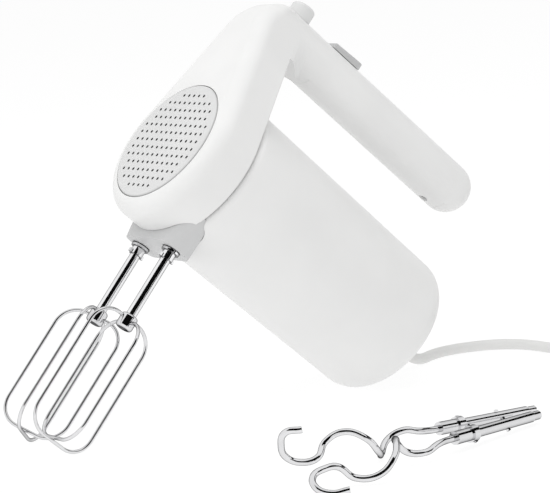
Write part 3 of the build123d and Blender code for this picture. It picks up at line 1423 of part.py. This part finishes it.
def mixer_nodes():
    """Pieces of the mixer in the upright frame."""
    with SkipClean():
        arm = arm_shell()
    nodes = {
        "arm_shell": arm,
        "handle_cover": handle_cover(),
        "handle_screw": handle_screw(),
        "arm_back_plate": arm_back_plate(),
        "vent_grille": vent_grille(),
        "motor_housing": motor_housing(),
        "beater_boss": beater_boss(),
        "gearbox_frame": gearbox_frame(),
        "body_screws": body_screws(),
        "spindle_bushes": spindle_bushes(),
        "armature_shaft": armature_shaft(),
        "drive_worm": drive_worm(),
        "cooling_fan": cooling_fan(),
        "armature_core": armature_core(),
        "armature_windings": armature_windings(),
        "commutator": commutator(),
        "front_bearing": bearing(FRAME_PLATE_Y),
        "rear_bearing": bearing(BRACKET_Y + BRACKET - BEARING_WIDTH + 1),
        "stator_core": stator_core(),
        "field_coils": field_coils(),
        "rear_bracket": rear_bracket(),
        "carbon_brushes": carbon_brushes(),
        "brush_holders": brush_holders(),
        "eject_button": eject_button(),
        "ejector_rod": ejector_rod(),
        "eject_spring": eject_spring(),
        "speed_knob": speed_knob(),
        "slider_carriage": slider_carriage(),
        "switch_block": switch_block(),
        "cord_gland": cord_gland(),
    }
    for side, name in SIDES:
        nodes[f"{name}_spindle"] = spindle(side)
        nodes[f"{name}_worm_gear"] = worm_gear(side)
        nodes[f"{name}_beater_shank"] = beater_shank(side)
        nodes[f"{name}_drive_collar"] = drive_collar(side)
        nodes[f"{name}_cage_collar"] = cage_collar(side)
        nodes[f"{name}_outer_loop"] = loop_wire(side, False, WIRE_RADIUS)
        nodes[f"{name}_inner_loop"] = loop_wire(side, True, WIRE_RADIUS)
    return nodes


def hook_nodes():
    """Both dough hooks, mirror twins, as they lie on the table."""
    pieces = {"wire": hook_wire(), "shank": hook_shank(), "collar": hook_collar()}
    left = lay_hook(pieces, LEFT_HOOK_PLACE, LEFT_HOOK_HEADING, LEFT_HOOK_RISE, LEFT_HOOK_TURN, False)
    right = lay_hook(pieces, RIGHT_HOOK_PLACE, RIGHT_HOOK_HEADING, RIGHT_HOOK_RISE, RIGHT_HOOK_TURN, True)
    nodes = {f"left_hook_{name}": solid for name, solid in left.items()}
    nodes.update({f"right_hook_{name}": solid for name, solid in right.items()})
    return nodes


def main():
    """Build every piece, centre the object over the origin and write one file for each piece."""
    nodes = {name: RESTING * solid for name, solid in mixer_nodes().items()}
    nodes.update(hook_nodes())
    boxes = [solid.bounding_box() for solid in nodes.values()]
    middle_x = (min(b.min.X for b in boxes) + max(b.max.X for b in boxes)) / 2
    middle_y = (min(b.min.Y for b in boxes) + max(b.max.Y for b in boxes)) / 2
    nodes["cord_lead"] = cord_lead()
    nodes["cord_coil"] = cord_coil()
    nodes["cord_tie"] = cord_tie()
    nodes["plug_body"] = plug_body()
    nodes["plug_pins"] = plug_pins()
    shift = Pos(-middle_x, -middle_y, 0)
    print("lean", LEAN, "tilt", TILT, "height", HEIGHT, "shift", -middle_x, -middle_y)
    os.makedirs("parts", exist_ok=True)
    for name, solid in nodes.items():
        export_step(shift * solid, os.path.join("parts", name + ".step"))


main()
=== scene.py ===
import bpy
import json
import math
from mathutils import Matrix, Vector


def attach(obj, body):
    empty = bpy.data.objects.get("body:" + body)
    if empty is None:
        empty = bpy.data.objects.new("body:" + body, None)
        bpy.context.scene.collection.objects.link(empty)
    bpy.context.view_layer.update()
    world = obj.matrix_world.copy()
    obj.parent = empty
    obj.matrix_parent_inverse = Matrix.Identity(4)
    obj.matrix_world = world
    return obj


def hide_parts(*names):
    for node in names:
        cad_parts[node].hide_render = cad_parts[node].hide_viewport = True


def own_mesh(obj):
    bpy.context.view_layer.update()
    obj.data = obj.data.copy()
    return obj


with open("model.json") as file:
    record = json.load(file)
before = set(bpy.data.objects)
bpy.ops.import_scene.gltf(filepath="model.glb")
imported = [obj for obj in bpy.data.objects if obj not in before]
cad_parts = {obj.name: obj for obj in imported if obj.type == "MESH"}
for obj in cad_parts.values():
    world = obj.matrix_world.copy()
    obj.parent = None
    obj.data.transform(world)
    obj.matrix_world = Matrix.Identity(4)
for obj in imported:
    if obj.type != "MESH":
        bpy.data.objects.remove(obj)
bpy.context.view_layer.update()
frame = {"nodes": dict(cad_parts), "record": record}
nodes = frame["nodes"]
scene = bpy.context.scene
scene.view_settings.view_transform = "Standard"

MM = 0.001
# Places in millimetres below are measured from the point on the table under the motor and arm.
# This moves them to the point under the middle of the whole object.
TABLE_SHIFT = Vector((-77.587, -62.497, 0.0))


def metres(point):
    """A place in millimetres, as a place in the frame."""
    return (Vector(point) + TABLE_SHIFT) * MM


# Camera: where the photograph was taken from
IMAGE_WIDTH = 550.0
FOCAL_PIXELS = 2675.991
SENSOR = 36.0
CAMERA_PLACE = (1252.279, -766.145, 361.012)
CAMERA_RIGHT = Vector((0.56635364, 0.82256737, -0.05124917))
CAMERA_UP = Vector((-0.12236358, 0.14541809, 0.98177428))
CAMERA_AHEAD = Vector((-0.81502804, 0.54976041, -0.18301035))
OFFSET_X = -0.925
OFFSET_Y = 17.421
CLIP_NEAR = 0.05
CLIP_FAR = 60.0

camera_data = bpy.data.cameras.new("camera")
camera = bpy.data.objects.new("camera", camera_data)
scene.collection.objects.link(camera)
camera_data.sensor_width = SENSOR
camera_data.lens = FOCAL_PIXELS / IMAGE_WIDTH * SENSOR
camera_data.shift_x = -OFFSET_X / IMAGE_WIDTH
camera_data.shift_y = OFFSET_Y / IMAGE_WIDTH
camera_data.clip_start = CLIP_NEAR
camera_data.clip_end = CLIP_FAR
turn = Matrix((CAMERA_RIGHT, CAMERA_UP, -CAMERA_AHEAD)).transposed().to_4x4()
camera.matrix_world = Matrix.Translation(metres(CAMERA_PLACE)) @ turn
scene.camera = camera

# Materials: noise scales are in features per metre, depths in metres
NOISE_LOW = 0.3
NOISE_HIGH = 0.7
RAMP_START = 0.35
RAMP_END = 0.65
PLASTIC_CLOUD_SCALE = 24.0
PLASTIC_GLOSS_SCALE = 140.0
PLASTIC_GLOSS_SPREAD = 0.05
PLASTIC_GRAIN_DETAIL = 2.0
PLASTIC_IOR = 1.49
METAL_CLOUD_SCALE = 60.0
METAL_GLOSS_SCALE = 220.0
METAL_GLOSS_DETAIL = 4.0
METAL_GLOSS_LOW = 0.6
METAL_GLOSS_HIGH = 1.5


def shade(colour, factor):
    """A colour made lighter or darker, with full alpha."""
    return tuple(min(1.0, c * factor) for c in colour) + (1.0,)


class Nodes:
    """A material's node tree, with short calls to add and join nodes."""

    def __init__(self, name):
        self.material = bpy.data.materials.new(name)
        self.material.use_nodes = True
        self.tree = self.material.node_tree
        self.shader = self.tree.nodes["Principled BSDF"]

    def add(self, kind, **values):
        """A new node with its settings."""
        node = self.tree.nodes.new(kind)
        for key, value in values.items():
            setattr(node, key, value)
        return node

    def join(self, source, target):
        """A link from one socket to another."""
        self.tree.links.new(source, target)

    def feed(self, source, socket):
        """A link to a socket of the shader."""
        self.join(source, self.shader.inputs[socket])

    def noise(self, scale, detail=3.0, stretch=None):
        """Noise that mostly stays between its low and high level, fixed to the piece."""
        coordinates = self.add("ShaderNodeTexCoord").outputs["Object"]
        if stretch:
            mapping = self.add("ShaderNodeMapping")
            mapping.inputs["Scale"].default_value = stretch
            self.join(coordinates, mapping.inputs["Vector"])
            coordinates = mapping.outputs["Vector"]
        texture = self.add("ShaderNodeTexNoise")
        texture.inputs["Scale"].default_value = scale
        texture.inputs["Detail"].default_value = detail
        self.join(coordinates, texture.inputs["Vector"])
        return texture.outputs["Fac"]

    def cloud(self, scale, colour, spread):
        """A colour that is a little darker and lighter from place to place."""
        ramp = self.add("ShaderNodeValToRGB")
        first, last = ramp.color_ramp.elements
        first.position = RAMP_START
        last.position = RAMP_END
        first.color = shade(colour, 1.0 - spread)
        last.color = shade(colour, 1.0 + spread)
        self.join(self.noise(scale), ramp.inputs["Fac"])
        return ramp.outputs["Color"]

    def level(self, factor, low, high):
        """A number between low and high across a noise."""
        span = self.add("ShaderNodeMapRange")
        span.inputs["From Min"].default_value = NOISE_LOW
        span.inputs["From Max"].default_value = NOISE_HIGH
        span.inputs["To Min"].default_value = low
        span.inputs["To Max"].default_value = high
        self.join(factor, span.inputs["Value"])
        return span.outputs["Result"]

    def bump(self, height, depth):
        """Fine relief of a depth."""
        node = self.add("ShaderNodeBump")
        node.inputs["Distance"].default_value = depth
        node.inputs["Strength"].default_value = 1.0
        self.join(height, node.inputs["Height"])
        self.feed(node.outputs["Normal"], "Normal")

    def plastic_finish(self, rough, grain, depth):
        """Uneven gloss and the fine grain of a spark-eroded mould."""
        gloss = self.noise(PLASTIC_GLOSS_SCALE)
        low = rough - PLASTIC_GLOSS_SPREAD
        high = rough + PLASTIC_GLOSS_SPREAD
        self.feed(self.level(gloss, low, high), "Roughness")
        self.bump(self.noise(grain, PLASTIC_GRAIN_DETAIL), depth)


def plastic(name, colour, rough=0.38, spread=0.015, grain=2600.0, depth=0.00002):
    """Moulded plastic with a fine grain and a faint cloudiness."""
    n = Nodes(name)
    n.feed(n.cloud(PLASTIC_CLOUD_SCALE, colour, spread), "Base Color")
    n.plastic_finish(rough, grain, depth)
    n.shader.inputs["IOR"].default_value = PLASTIC_IOR
    return n.material


def pierced(name, colour, painted_shade_colour, across, rough, spread, grain, depth):
    """Pale plastic whose edges and hole walls, which stand square to the face, are painted darker:
    painted shade in the holes and along the edges.
    """
    n = Nodes(name)
    # Painted shade: walls that stand square to the face take the dark painted shade colour, and the
    # face keeps the pale plastic.
    upright = n.add("ShaderNodeVectorMath", operation="DOT_PRODUCT")
    upright.inputs[1].default_value = across
    n.join(n.add("ShaderNodeTexCoord").outputs["Normal"], upright.inputs[0])
    size = n.add("ShaderNodeMath", operation="ABSOLUTE")
    n.join(upright.outputs["Value"], size.inputs[0])
    mix = n.add("ShaderNodeMix", data_type="RGBA")
    mix.inputs["A"].default_value = painted_shade_colour + (1.0,)
    n.join(size.outputs["Value"], mix.inputs["Factor"])
    n.join(n.cloud(PLASTIC_CLOUD_SCALE, colour, spread), mix.inputs["B"])
    n.feed(mix.outputs["Result"], "Base Color")
    n.plastic_finish(rough, grain, depth)
    return n.material


def metal(
    name,
    colour,
    rough,
    spread=0.04,
    grain=900.0,
    depth=0.000008,
    stretch=None,
    edge=1.0,
):
    """Metal with faint smears in its gloss and fine working marks; edge below 1 tints its
    reflections dark at grazing angles, a painted dark reflection along its rim.
    """
    n = Nodes(name)
    n.feed(n.cloud(METAL_CLOUD_SCALE, colour, spread), "Base Color")
    gloss = n.noise(METAL_GLOSS_SCALE, METAL_GLOSS_DETAIL)
    n.feed(n.level(gloss, rough * METAL_GLOSS_LOW, rough * METAL_GLOSS_HIGH), "Roughness")
    n.bump(n.noise(grain, stretch=stretch), depth)
    n.shader.inputs["Metallic"].default_value = 1.0
    # Painted reflection: a specular tint below 1 darkens the rim as if dark surroundings were
    # mirrored there.
    n.shader.inputs["Specular Tint"].default_value = (edge, edge, edge, 1.0)
    return n.material


WHITE = (0.83, 0.83, 0.825)
CORD_WHITE = (0.76, 0.76, 0.75)
GREY = (0.60, 0.603, 0.605)
GRILLE_GREY = (0.69, 0.692, 0.69)
# Painted shade for the grille's hole walls and edges
HOLE_PAINTED_SHADE = (0.13, 0.13, 0.13)
BUTTON_GREY = (0.73, 0.733, 0.73)
KNOB_GREY = (0.52, 0.522, 0.524)
INNER_BLACK = (0.05, 0.05, 0.055)
TIE_BLACK = (0.04, 0.04, 0.042)
CARBON_BLACK = (0.02, 0.02, 0.021)
GEAR_CREAM = (0.72, 0.69, 0.58)
WIRE_CHROME = (0.74, 0.74, 0.75)
SHANK_CHROME = (0.86, 0.86, 0.87)
STEEL = (0.56, 0.56, 0.57)
IRON = (0.16, 0.16, 0.17)
COPPER = (0.72, 0.34, 0.17)
BRONZE = (0.58, 0.42, 0.22)
ALLOY = (0.60, 0.61, 0.62)
BRASS = (0.72, 0.66, 0.50)
ALONG_X = (0.2, 1.0, 1.0)
ACROSS_Z = (1.0, 1.0, 8.0)
TRIM_GRAIN = {"grain": 2200.0, "depth": 0.00003}

materials = {
    "white_body": plastic("white_body", WHITE, rough=0.36),
    "grey_trim": plastic("grey_trim", GREY, rough=0.42, spread=0.02, **TRIM_GRAIN),
    # Chrome with a painted dark reflection along its rim (edge 0.05)
    "chrome_wire": metal("chrome_wire", WIRE_CHROME, rough=0.06, edge=0.05),
    "steel": metal(
        "steel", STEEL, rough=0.3, spread=0.06, grain=1400.0, depth=0.00001, stretch=ACROSS_Z
    ),
    "iron_core": metal(
        "iron_core", IRON, rough=0.5, spread=0.1, grain=1800.0, depth=0.00005, stretch=ALONG_X
    ),
    "copper": metal(
        "copper", COPPER, rough=0.3, spread=0.12, grain=1500.0, depth=0.00012, stretch=ALONG_X
    ),
    "bronze": metal("bronze", BRONZE, rough=0.42, spread=0.08, grain=2400.0, depth=0.00004),
    "frame_alloy": metal("frame_alloy", ALLOY, rough=0.45, spread=0.05, depth=0.00006),
    "inner_plastic": plastic("inner_plastic", INNER_BLACK, rough=0.5, spread=0.08),
    "gear_plastic": plastic("gear_plastic", GEAR_CREAM, rough=0.45, spread=0.03),
    "carbon": plastic(
        "carbon", CARBON_BLACK, rough=0.7, spread=0.15, grain=3200.0, depth=0.00006
    ),
    "white_cord": plastic(
        "white_cord", CORD_WHITE, rough=0.5, spread=0.02, grain=1800.0, depth=0.00005
    ),
    "tie_plastic": plastic(
        "tie_plastic", TIE_BLACK, rough=0.5, spread=0.08, grain=1600.0, depth=0.00006
    ),
    "brass_pins": metal("brass_pins", BRASS, rough=0.22, spread=0.05),
}


def dress(piece, material):
    """Give a piece one material."""
    piece.data.materials.clear()
    piece.data.materials.append(material)


for entry in frame["record"]["subparts"]:
    dress(nodes[entry["node"]], materials[entry["material_slot"]])

# Nodes whose finish differs a little from that of their slot
FACE_AXIS = (-0.0346, -0.7351, 0.6771)
# The grille's hole walls and edges are coloured darker as painted shade.
dress(
    nodes["vent_grille"],
    pierced(
        "grille_plastic_painted_shade", GRILLE_GREY, HOLE_PAINTED_SHADE, FACE_AXIS, rough=0.42, spread=0.02, **TRIM_GRAIN
    ),
)
dress(
    nodes["eject_button"],
    plastic("button_plastic", BUTTON_GREY, rough=0.42, spread=0.02, **TRIM_GRAIN),
)
dress(
    nodes["speed_knob"],
    plastic("knob_plastic", KNOB_GREY, rough=0.45, spread=0.03, **TRIM_GRAIN),
)
# Shanks and collars: chrome with a painted dark reflection along its rim (edge 0.08)
shank_chrome = metal("shank_chrome", SHANK_CHROME, rough=0.06, edge=0.08)
for hand in ("left", "right"):
    dress(nodes[hand + "_beater_shank"], shank_chrome)
    dress(nodes[hand + "_drive_collar"], shank_chrome)

# Return spring of the push button, with a mesh of its own
spring = nodes["eject_spring"]
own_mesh(spring)

# Mains lead: one spline from the strain relief through the coil to the plug
CORD_RADIUS = 3.25
CORD_FLOOR_Z = 3.5
CORD_EXIT = (-6.505, 171.980, 12.155)
CORD_TOUCH = (-6.063, 181.376, 3.5)
CORD_ROUTE = [
    (-16.6, 204.0),
    (-17.4, 218.6),
    (-14.8, 231.4),
    (-10.2, 243.4),
    (-2.4, 253.0),
    (8.6, 259.6),
    (24.8, 262.4),
]
CORD_CURVE_STEPS = 6
COIL_CENTRE = (62.0, 306.0)
COIL_Z = 4.7
COIL_OUTER_RADIUS = 45.5
COIL_TURN_STEP = 7.4
COIL_LAYER_STEP = 7.4
COIL_INWARD_HALF_TURNS = 5
COIL_OUTWARD_HALF_TURNS = 4
COIL_START_BACK = 2 * CORD_RADIUS
COIL_RUN_IN = 5 * CORD_RADIUS
COIL_TAIL = 42.0
COIL_TAIL_SHARES = (0.2, 0.6, 1.0)
POINTS_PER_HALF_TURN = 8
ROUND_STEPS = 5


def coil_points():
    """Control points of the coil, and where it ends.

    Half circles shrink, climb a layer and grow again.
    """
    points = []
    x, y = COIL_CENTRE
    shrink = COIL_TURN_STEP / 2
    count = COIL_INWARD_HALF_TURNS + 1 + COIL_OUTWARD_HALF_TURNS
    radius = COIL_OUTER_RADIUS
    edge = y - radius
    side = 1.0
    z = COIL_Z
    step = math.pi / POINTS_PER_HALF_TURN
    for half in range(count):
        climb = COIL_LAYER_STEP if half == COIL_INWARD_HALF_TURNS else 0.0
        centre = edge + side * radius
        reach = radius / math.cos(step / 2)
        for k in range(POINTS_PER_HALF_TURN):
            angle = (k + 0.5) * step
            rise = climb * (1.0 - math.cos(angle)) / 2
            across = side * reach * math.sin(angle)
            along = side * reach * math.cos(angle)
            points.append((x + across, centre - along, z + rise))
        z += climb
        edge += side * 2 * radius
        side = -side
        radius += -shrink if half < COIL_INWARD_HALF_TURNS else shrink
    return points, Vector((x, edge, z))


def cord_points():
    """Control points of the whole lead, in millimetres."""
    x, y = COIL_CENTRE
    start = (x - COIL_START_BACK, y - COIL_OUTER_RADIUS, COIL_Z)
    before = (start[0] - COIL_RUN_IN, start[1], start[2])
    turns, last = coil_points()
    lead = [CORD_EXIT, CORD_TOUCH]
    lead += [(px, py, CORD_FLOOR_Z) for px, py in CORD_ROUTE]
    tail = [(last.x + COIL_TAIL * share, last.y, last.z) for share in COIL_TAIL_SHARES]
    return lead + [before, start] + turns + tail


def round_curve(name, radius):
    """Empty curve with a round section and closed ends."""
    curve = bpy.data.curves.new(name, "CURVE")
    curve.dimensions = "3D"
    curve.bevel_depth = radius * MM
    curve.bevel_resolution = ROUND_STEPS
    curve.use_fill_caps = True
    return curve


def nurbs(name, points, radius):
    """Round cord along one smooth spline."""
    curve = round_curve(name, radius)
    spline = curve.splines.new("NURBS")
    spline.points.add(len(points) - 1)
    for target, point in zip(spline.points, points):
        target.co = (*metres(point), 1.0)
    spline.order_u = 3
    spline.use_endpoint_u = True
    spline.resolution_u = CORD_CURVE_STEPS
    piece = bpy.data.objects.new(name, curve)
    scene.collection.objects.link(piece)
    return piece


cord = nurbs("mains_lead", cord_points(), CORD_RADIUS)
dress(cord, materials["white_cord"])
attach(cord, "mixer_body")
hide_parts("cord_lead", "cord_coil")

# Bent wires of the dough hooks, as slim as the photograph shows them
HOOK_WIRE_RADIUS = 1.8
HOOK_CURVE_STEPS = 10
HOOK_LINES = {
    "left_hook": [
        (144.15, 83.84, 7.29),
        (145.10, 75.60, 7.78),
        (146.37, 66.95, 9.24),
        (144.75, 57.98, 11.01),
        (142.79, 48.65, 7.29),
        (148.45, 40.12, 2.29),
        (156.91, 32.44, 6.14),
        (157.93, 24.21, 15.06),
        (151.47, 14.83, 19.40),
        (146.55, 6.05, 14.90),
        (149.60, -1.80, 8.20),
        (147.20, -9.90, 6.95),
        (145.30, -18.00, 10.70),
        (147.90, -22.70, 18.50),
        (152.10, -22.70, 25.90),
        (157.10, -15.60, 27.20),
    ],
    "right_hook": [
        (167.55, 75.86, 7.76),
        (169.50, 67.80, 8.13),
        (172.40, 59.42, 8.06),
        (173.52, 50.51, 5.72),
        (170.60, 40.79, 7.01),
        (172.02, 32.41, 14.60),
        (181.53, 25.79, 17.92),
        (189.46, 18.38, 12.39),
        (189.05, 8.85, 4.81),
        (183.05, -1.71, 4.00),
        (180.37, -11.09, 11.20),
        (178.90, -17.30, 11.20),
        (179.60, -25.70, 8.60),
        (184.60, -28.00, 4.60),
        (191.40, -23.70, 1.85),
        (197.00, -15.60, 3.20),
    ],
}


def bent_wire(name, points, radius):
    """Round wire that passes smoothly through points, as a mesh."""
    curve = round_curve(name, radius)
    spline = curve.splines.new("BEZIER")
    spline.bezier_points.add(len(points) - 1)
    for target, point in zip(spline.bezier_points, points):
        target.co = metres(point)
        target.handle_left_type = "AUTO"
        target.handle_right_type = "AUTO"
    spline.resolution_u = HOOK_CURVE_STEPS
    line = bpy.data.objects.new(name + "_line", curve)
    scene.collection.objects.link(line)
    bpy.context.view_layer.update()
    graph = bpy.context.evaluated_depsgraph_get()
    mesh = bpy.data.meshes.new_from_object(line.evaluated_get(graph))
    bpy.data.objects.remove(line)
    bpy.data.curves.remove(curve)
    mesh.name = name
    for face in mesh.polygons:
        face.use_smooth = len(face.vertices) == 4
    piece = bpy.data.objects.new(name, mesh)
    scene.collection.objects.link(piece)
    return piece


for body, points in HOOK_LINES.items():
    wire = bent_wire(body + "_bend", points, HOOK_WIRE_RADIUS)
    dress(wire, materials["chrome_wire"])
    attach(wire, body)
    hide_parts(body + "_wire")

# Floor, light and background: the floor glows a share of its look, more for the eye than as light
FLOOR_REACH = 12.0
FLOOR_DROP = 0.0002
FLOOR_COLOUR = (0.9, 0.9, 0.9, 1.0)
FLOOR_GLOW = 1.095
FLOOR_GLOW_FOR_LIGHT = 0.57
FLOOR_GLOW_FOR_VIEW = 0.78
WORLD_FOR_LIGHT = 0.59
WORLD_FOR_VIEW = 1.0
PURE_WHITE = (1.0, 1.0, 1.0, 1.0)
CARD_BLACK = (0.004, 0.004, 0.004, 1.0)
MIXER_MIDDLE = (0.0, 0.0, 0.1)
TABLE_MIDDLE = (0.0, 0.0, 0.0)


def view_or_light(tree, for_light, for_view):
    """One level for rays from the camera, metal or glass, and another for all other rays."""
    path = tree.nodes.new("ShaderNodeLightPath")
    first = tree.nodes.new("ShaderNodeMath")
    first.operation = "MAXIMUM"
    second = tree.nodes.new("ShaderNodeMath")
    second.operation = "MAXIMUM"
    tree.links.new(path.outputs["Is Camera Ray"], first.inputs[0])
    tree.links.new(path.outputs["Is Glossy Ray"], first.inputs[1])
    tree.links.new(first.outputs[0], second.inputs[0])
    tree.links.new(path.outputs["Is Transmission Ray"], second.inputs[1])
    level = tree.nodes.new("ShaderNodeMapRange")
    level.inputs["To Min"].default_value = for_light
    level.inputs["To Max"].default_value = for_view
    tree.links.new(second.outputs[0], level.inputs["Value"])
    return level.outputs["Result"]


def flat_sheet(name, width, length):
    """Rectangle in its own plane, with its middle at the origin."""
    x = width / 2
    y = length / 2
    mesh = bpy.data.meshes.new(name)
    mesh.from_pydata([(-x, -y, 0), (x, -y, 0), (x, y, 0), (-x, y, 0)], [], [(0, 1, 2, 3)])
    sheet = bpy.data.objects.new(name, mesh)
    scene.collection.objects.link(sheet)
    material = bpy.data.materials.new(name)
    material.use_nodes = True
    mesh.materials.append(material)
    return sheet, material.node_tree


def make_floor():
    """Pale floor that stays near white and keeps a soft shadow."""
    floor, tree = flat_sheet("floor", 2 * FLOOR_REACH, 2 * FLOOR_REACH)
    floor.location.z = -FLOOR_DROP
    tree.nodes.clear()
    diffuse = tree.nodes.new("ShaderNodeBsdfDiffuse")
    diffuse.inputs["Color"].default_value = FLOOR_COLOUR
    glow = tree.nodes.new("ShaderNodeEmission")
    glow.inputs["Color"].default_value = PURE_WHITE
    glow.inputs["Strength"].default_value = FLOOR_GLOW
    share = view_or_light(tree, FLOOR_GLOW_FOR_LIGHT, FLOOR_GLOW_FOR_VIEW)
    mix = tree.nodes.new("ShaderNodeMixShader")
    output = tree.nodes.new("ShaderNodeOutputMaterial")
    tree.links.new(share, mix.inputs["Fac"])
    tree.links.new(diffuse.outputs[0], mix.inputs[1])
    tree.links.new(glow.outputs[0], mix.inputs[2])
    tree.links.new(mix.outputs[0], output.inputs["Surface"])


def make_world():
    """White background to look at, with a softer grey for the light it gives."""
    world = bpy.data.worlds.new("studio")
    scene.world = world
    world.use_nodes = True
    tree = world.node_tree
    tree.nodes.clear()
    background = tree.nodes.new("ShaderNodeBackground")
    background.inputs["Color"].default_value = PURE_WHITE
    output = tree.nodes.new("ShaderNodeOutputWorld")
    strength = view_or_light(tree, WORLD_FOR_LIGHT, WORLD_FOR_VIEW)
    tree.links.new(strength, background.inputs["Strength"])
    tree.links.new(background.outputs[0], output.inputs["Surface"])


def softbox(name, place, size, power):
    """Large soft lamp that faces the mixer."""
    data = bpy.data.lights.new(name, "AREA")
    data.shape = "RECTANGLE"
    data.size = size[0]
    data.size_y = size[1]
    data.energy = power
    lamp = bpy.data.objects.new(name, data)
    scene.collection.objects.link(lamp)
    lamp.location = place
    lamp.visible_glossy = False
    facing = Vector(MIXER_MIDDLE) - Vector(place)
    lamp.rotation_euler = facing.to_track_quat("-Z", "Y").to_euler()


def dark_card(name, place, target, along, size):
    """Black card that only shows in polished metal, for its dark bands.

    The card faces a target and its length runs along a direction.
    """
    card, tree = flat_sheet(name, size[0], size[1])
    facing = (Vector(target) - Vector(place)).normalized()
    long_side = Vector(along) - facing * facing.dot(Vector(along))
    long_side.normalize()
    turned = Matrix((long_side, facing.cross(long_side), facing)).transposed().to_4x4()
    card.matrix_world = Matrix.Translation(place) @ turned
    shader = tree.nodes["Principled BSDF"]
    shader.inputs["Base Color"].default_value = CARD_BLACK
    shader.inputs["Roughness"].default_value = 1.0
    shader.inputs["Specular IOR Level"].default_value = 0.0
    card.visible_camera = False
    card.visible_diffuse = False
    card.visible_transmission = False
    card.visible_shadow = False


make_floor()
make_world()
dark_card(
    "front_card",
    place=(1.35, -0.58, 1.14),
    target=MIXER_MIDDLE,
    along=(0.63, 0.55, -0.51),
    size=(3.4, 2.0),
)
dark_card(
    "right_card",
    place=(0.35, 1.6, 0.95),
    target=TABLE_MIDDLE,
    along=(1.0, -0.2, 0.0),
    size=(2.6, 0.5),
)
dark_card(
    "near_card",
    place=(1.55, 0.75, 0.5),
    target=TABLE_MIDDLE,
    along=(0.0, 0.0, 1.0),
    size=(1.4, 0.55),
)
softbox("key", place=(0.3, -1.1, 1.4), size=(1.2, 0.9), power=4.2)
softbox("fill", place=(1.3, -1.0, 0.5), size=(1.2, 0.8), power=3.0)
softbox("side", place=(-0.7, -1.3, 0.35), size=(1.4, 0.7), power=2.2)
softbox("top", place=(0.1, 0.1, 1.8), size=(1.4, 1.4), power=10.5)
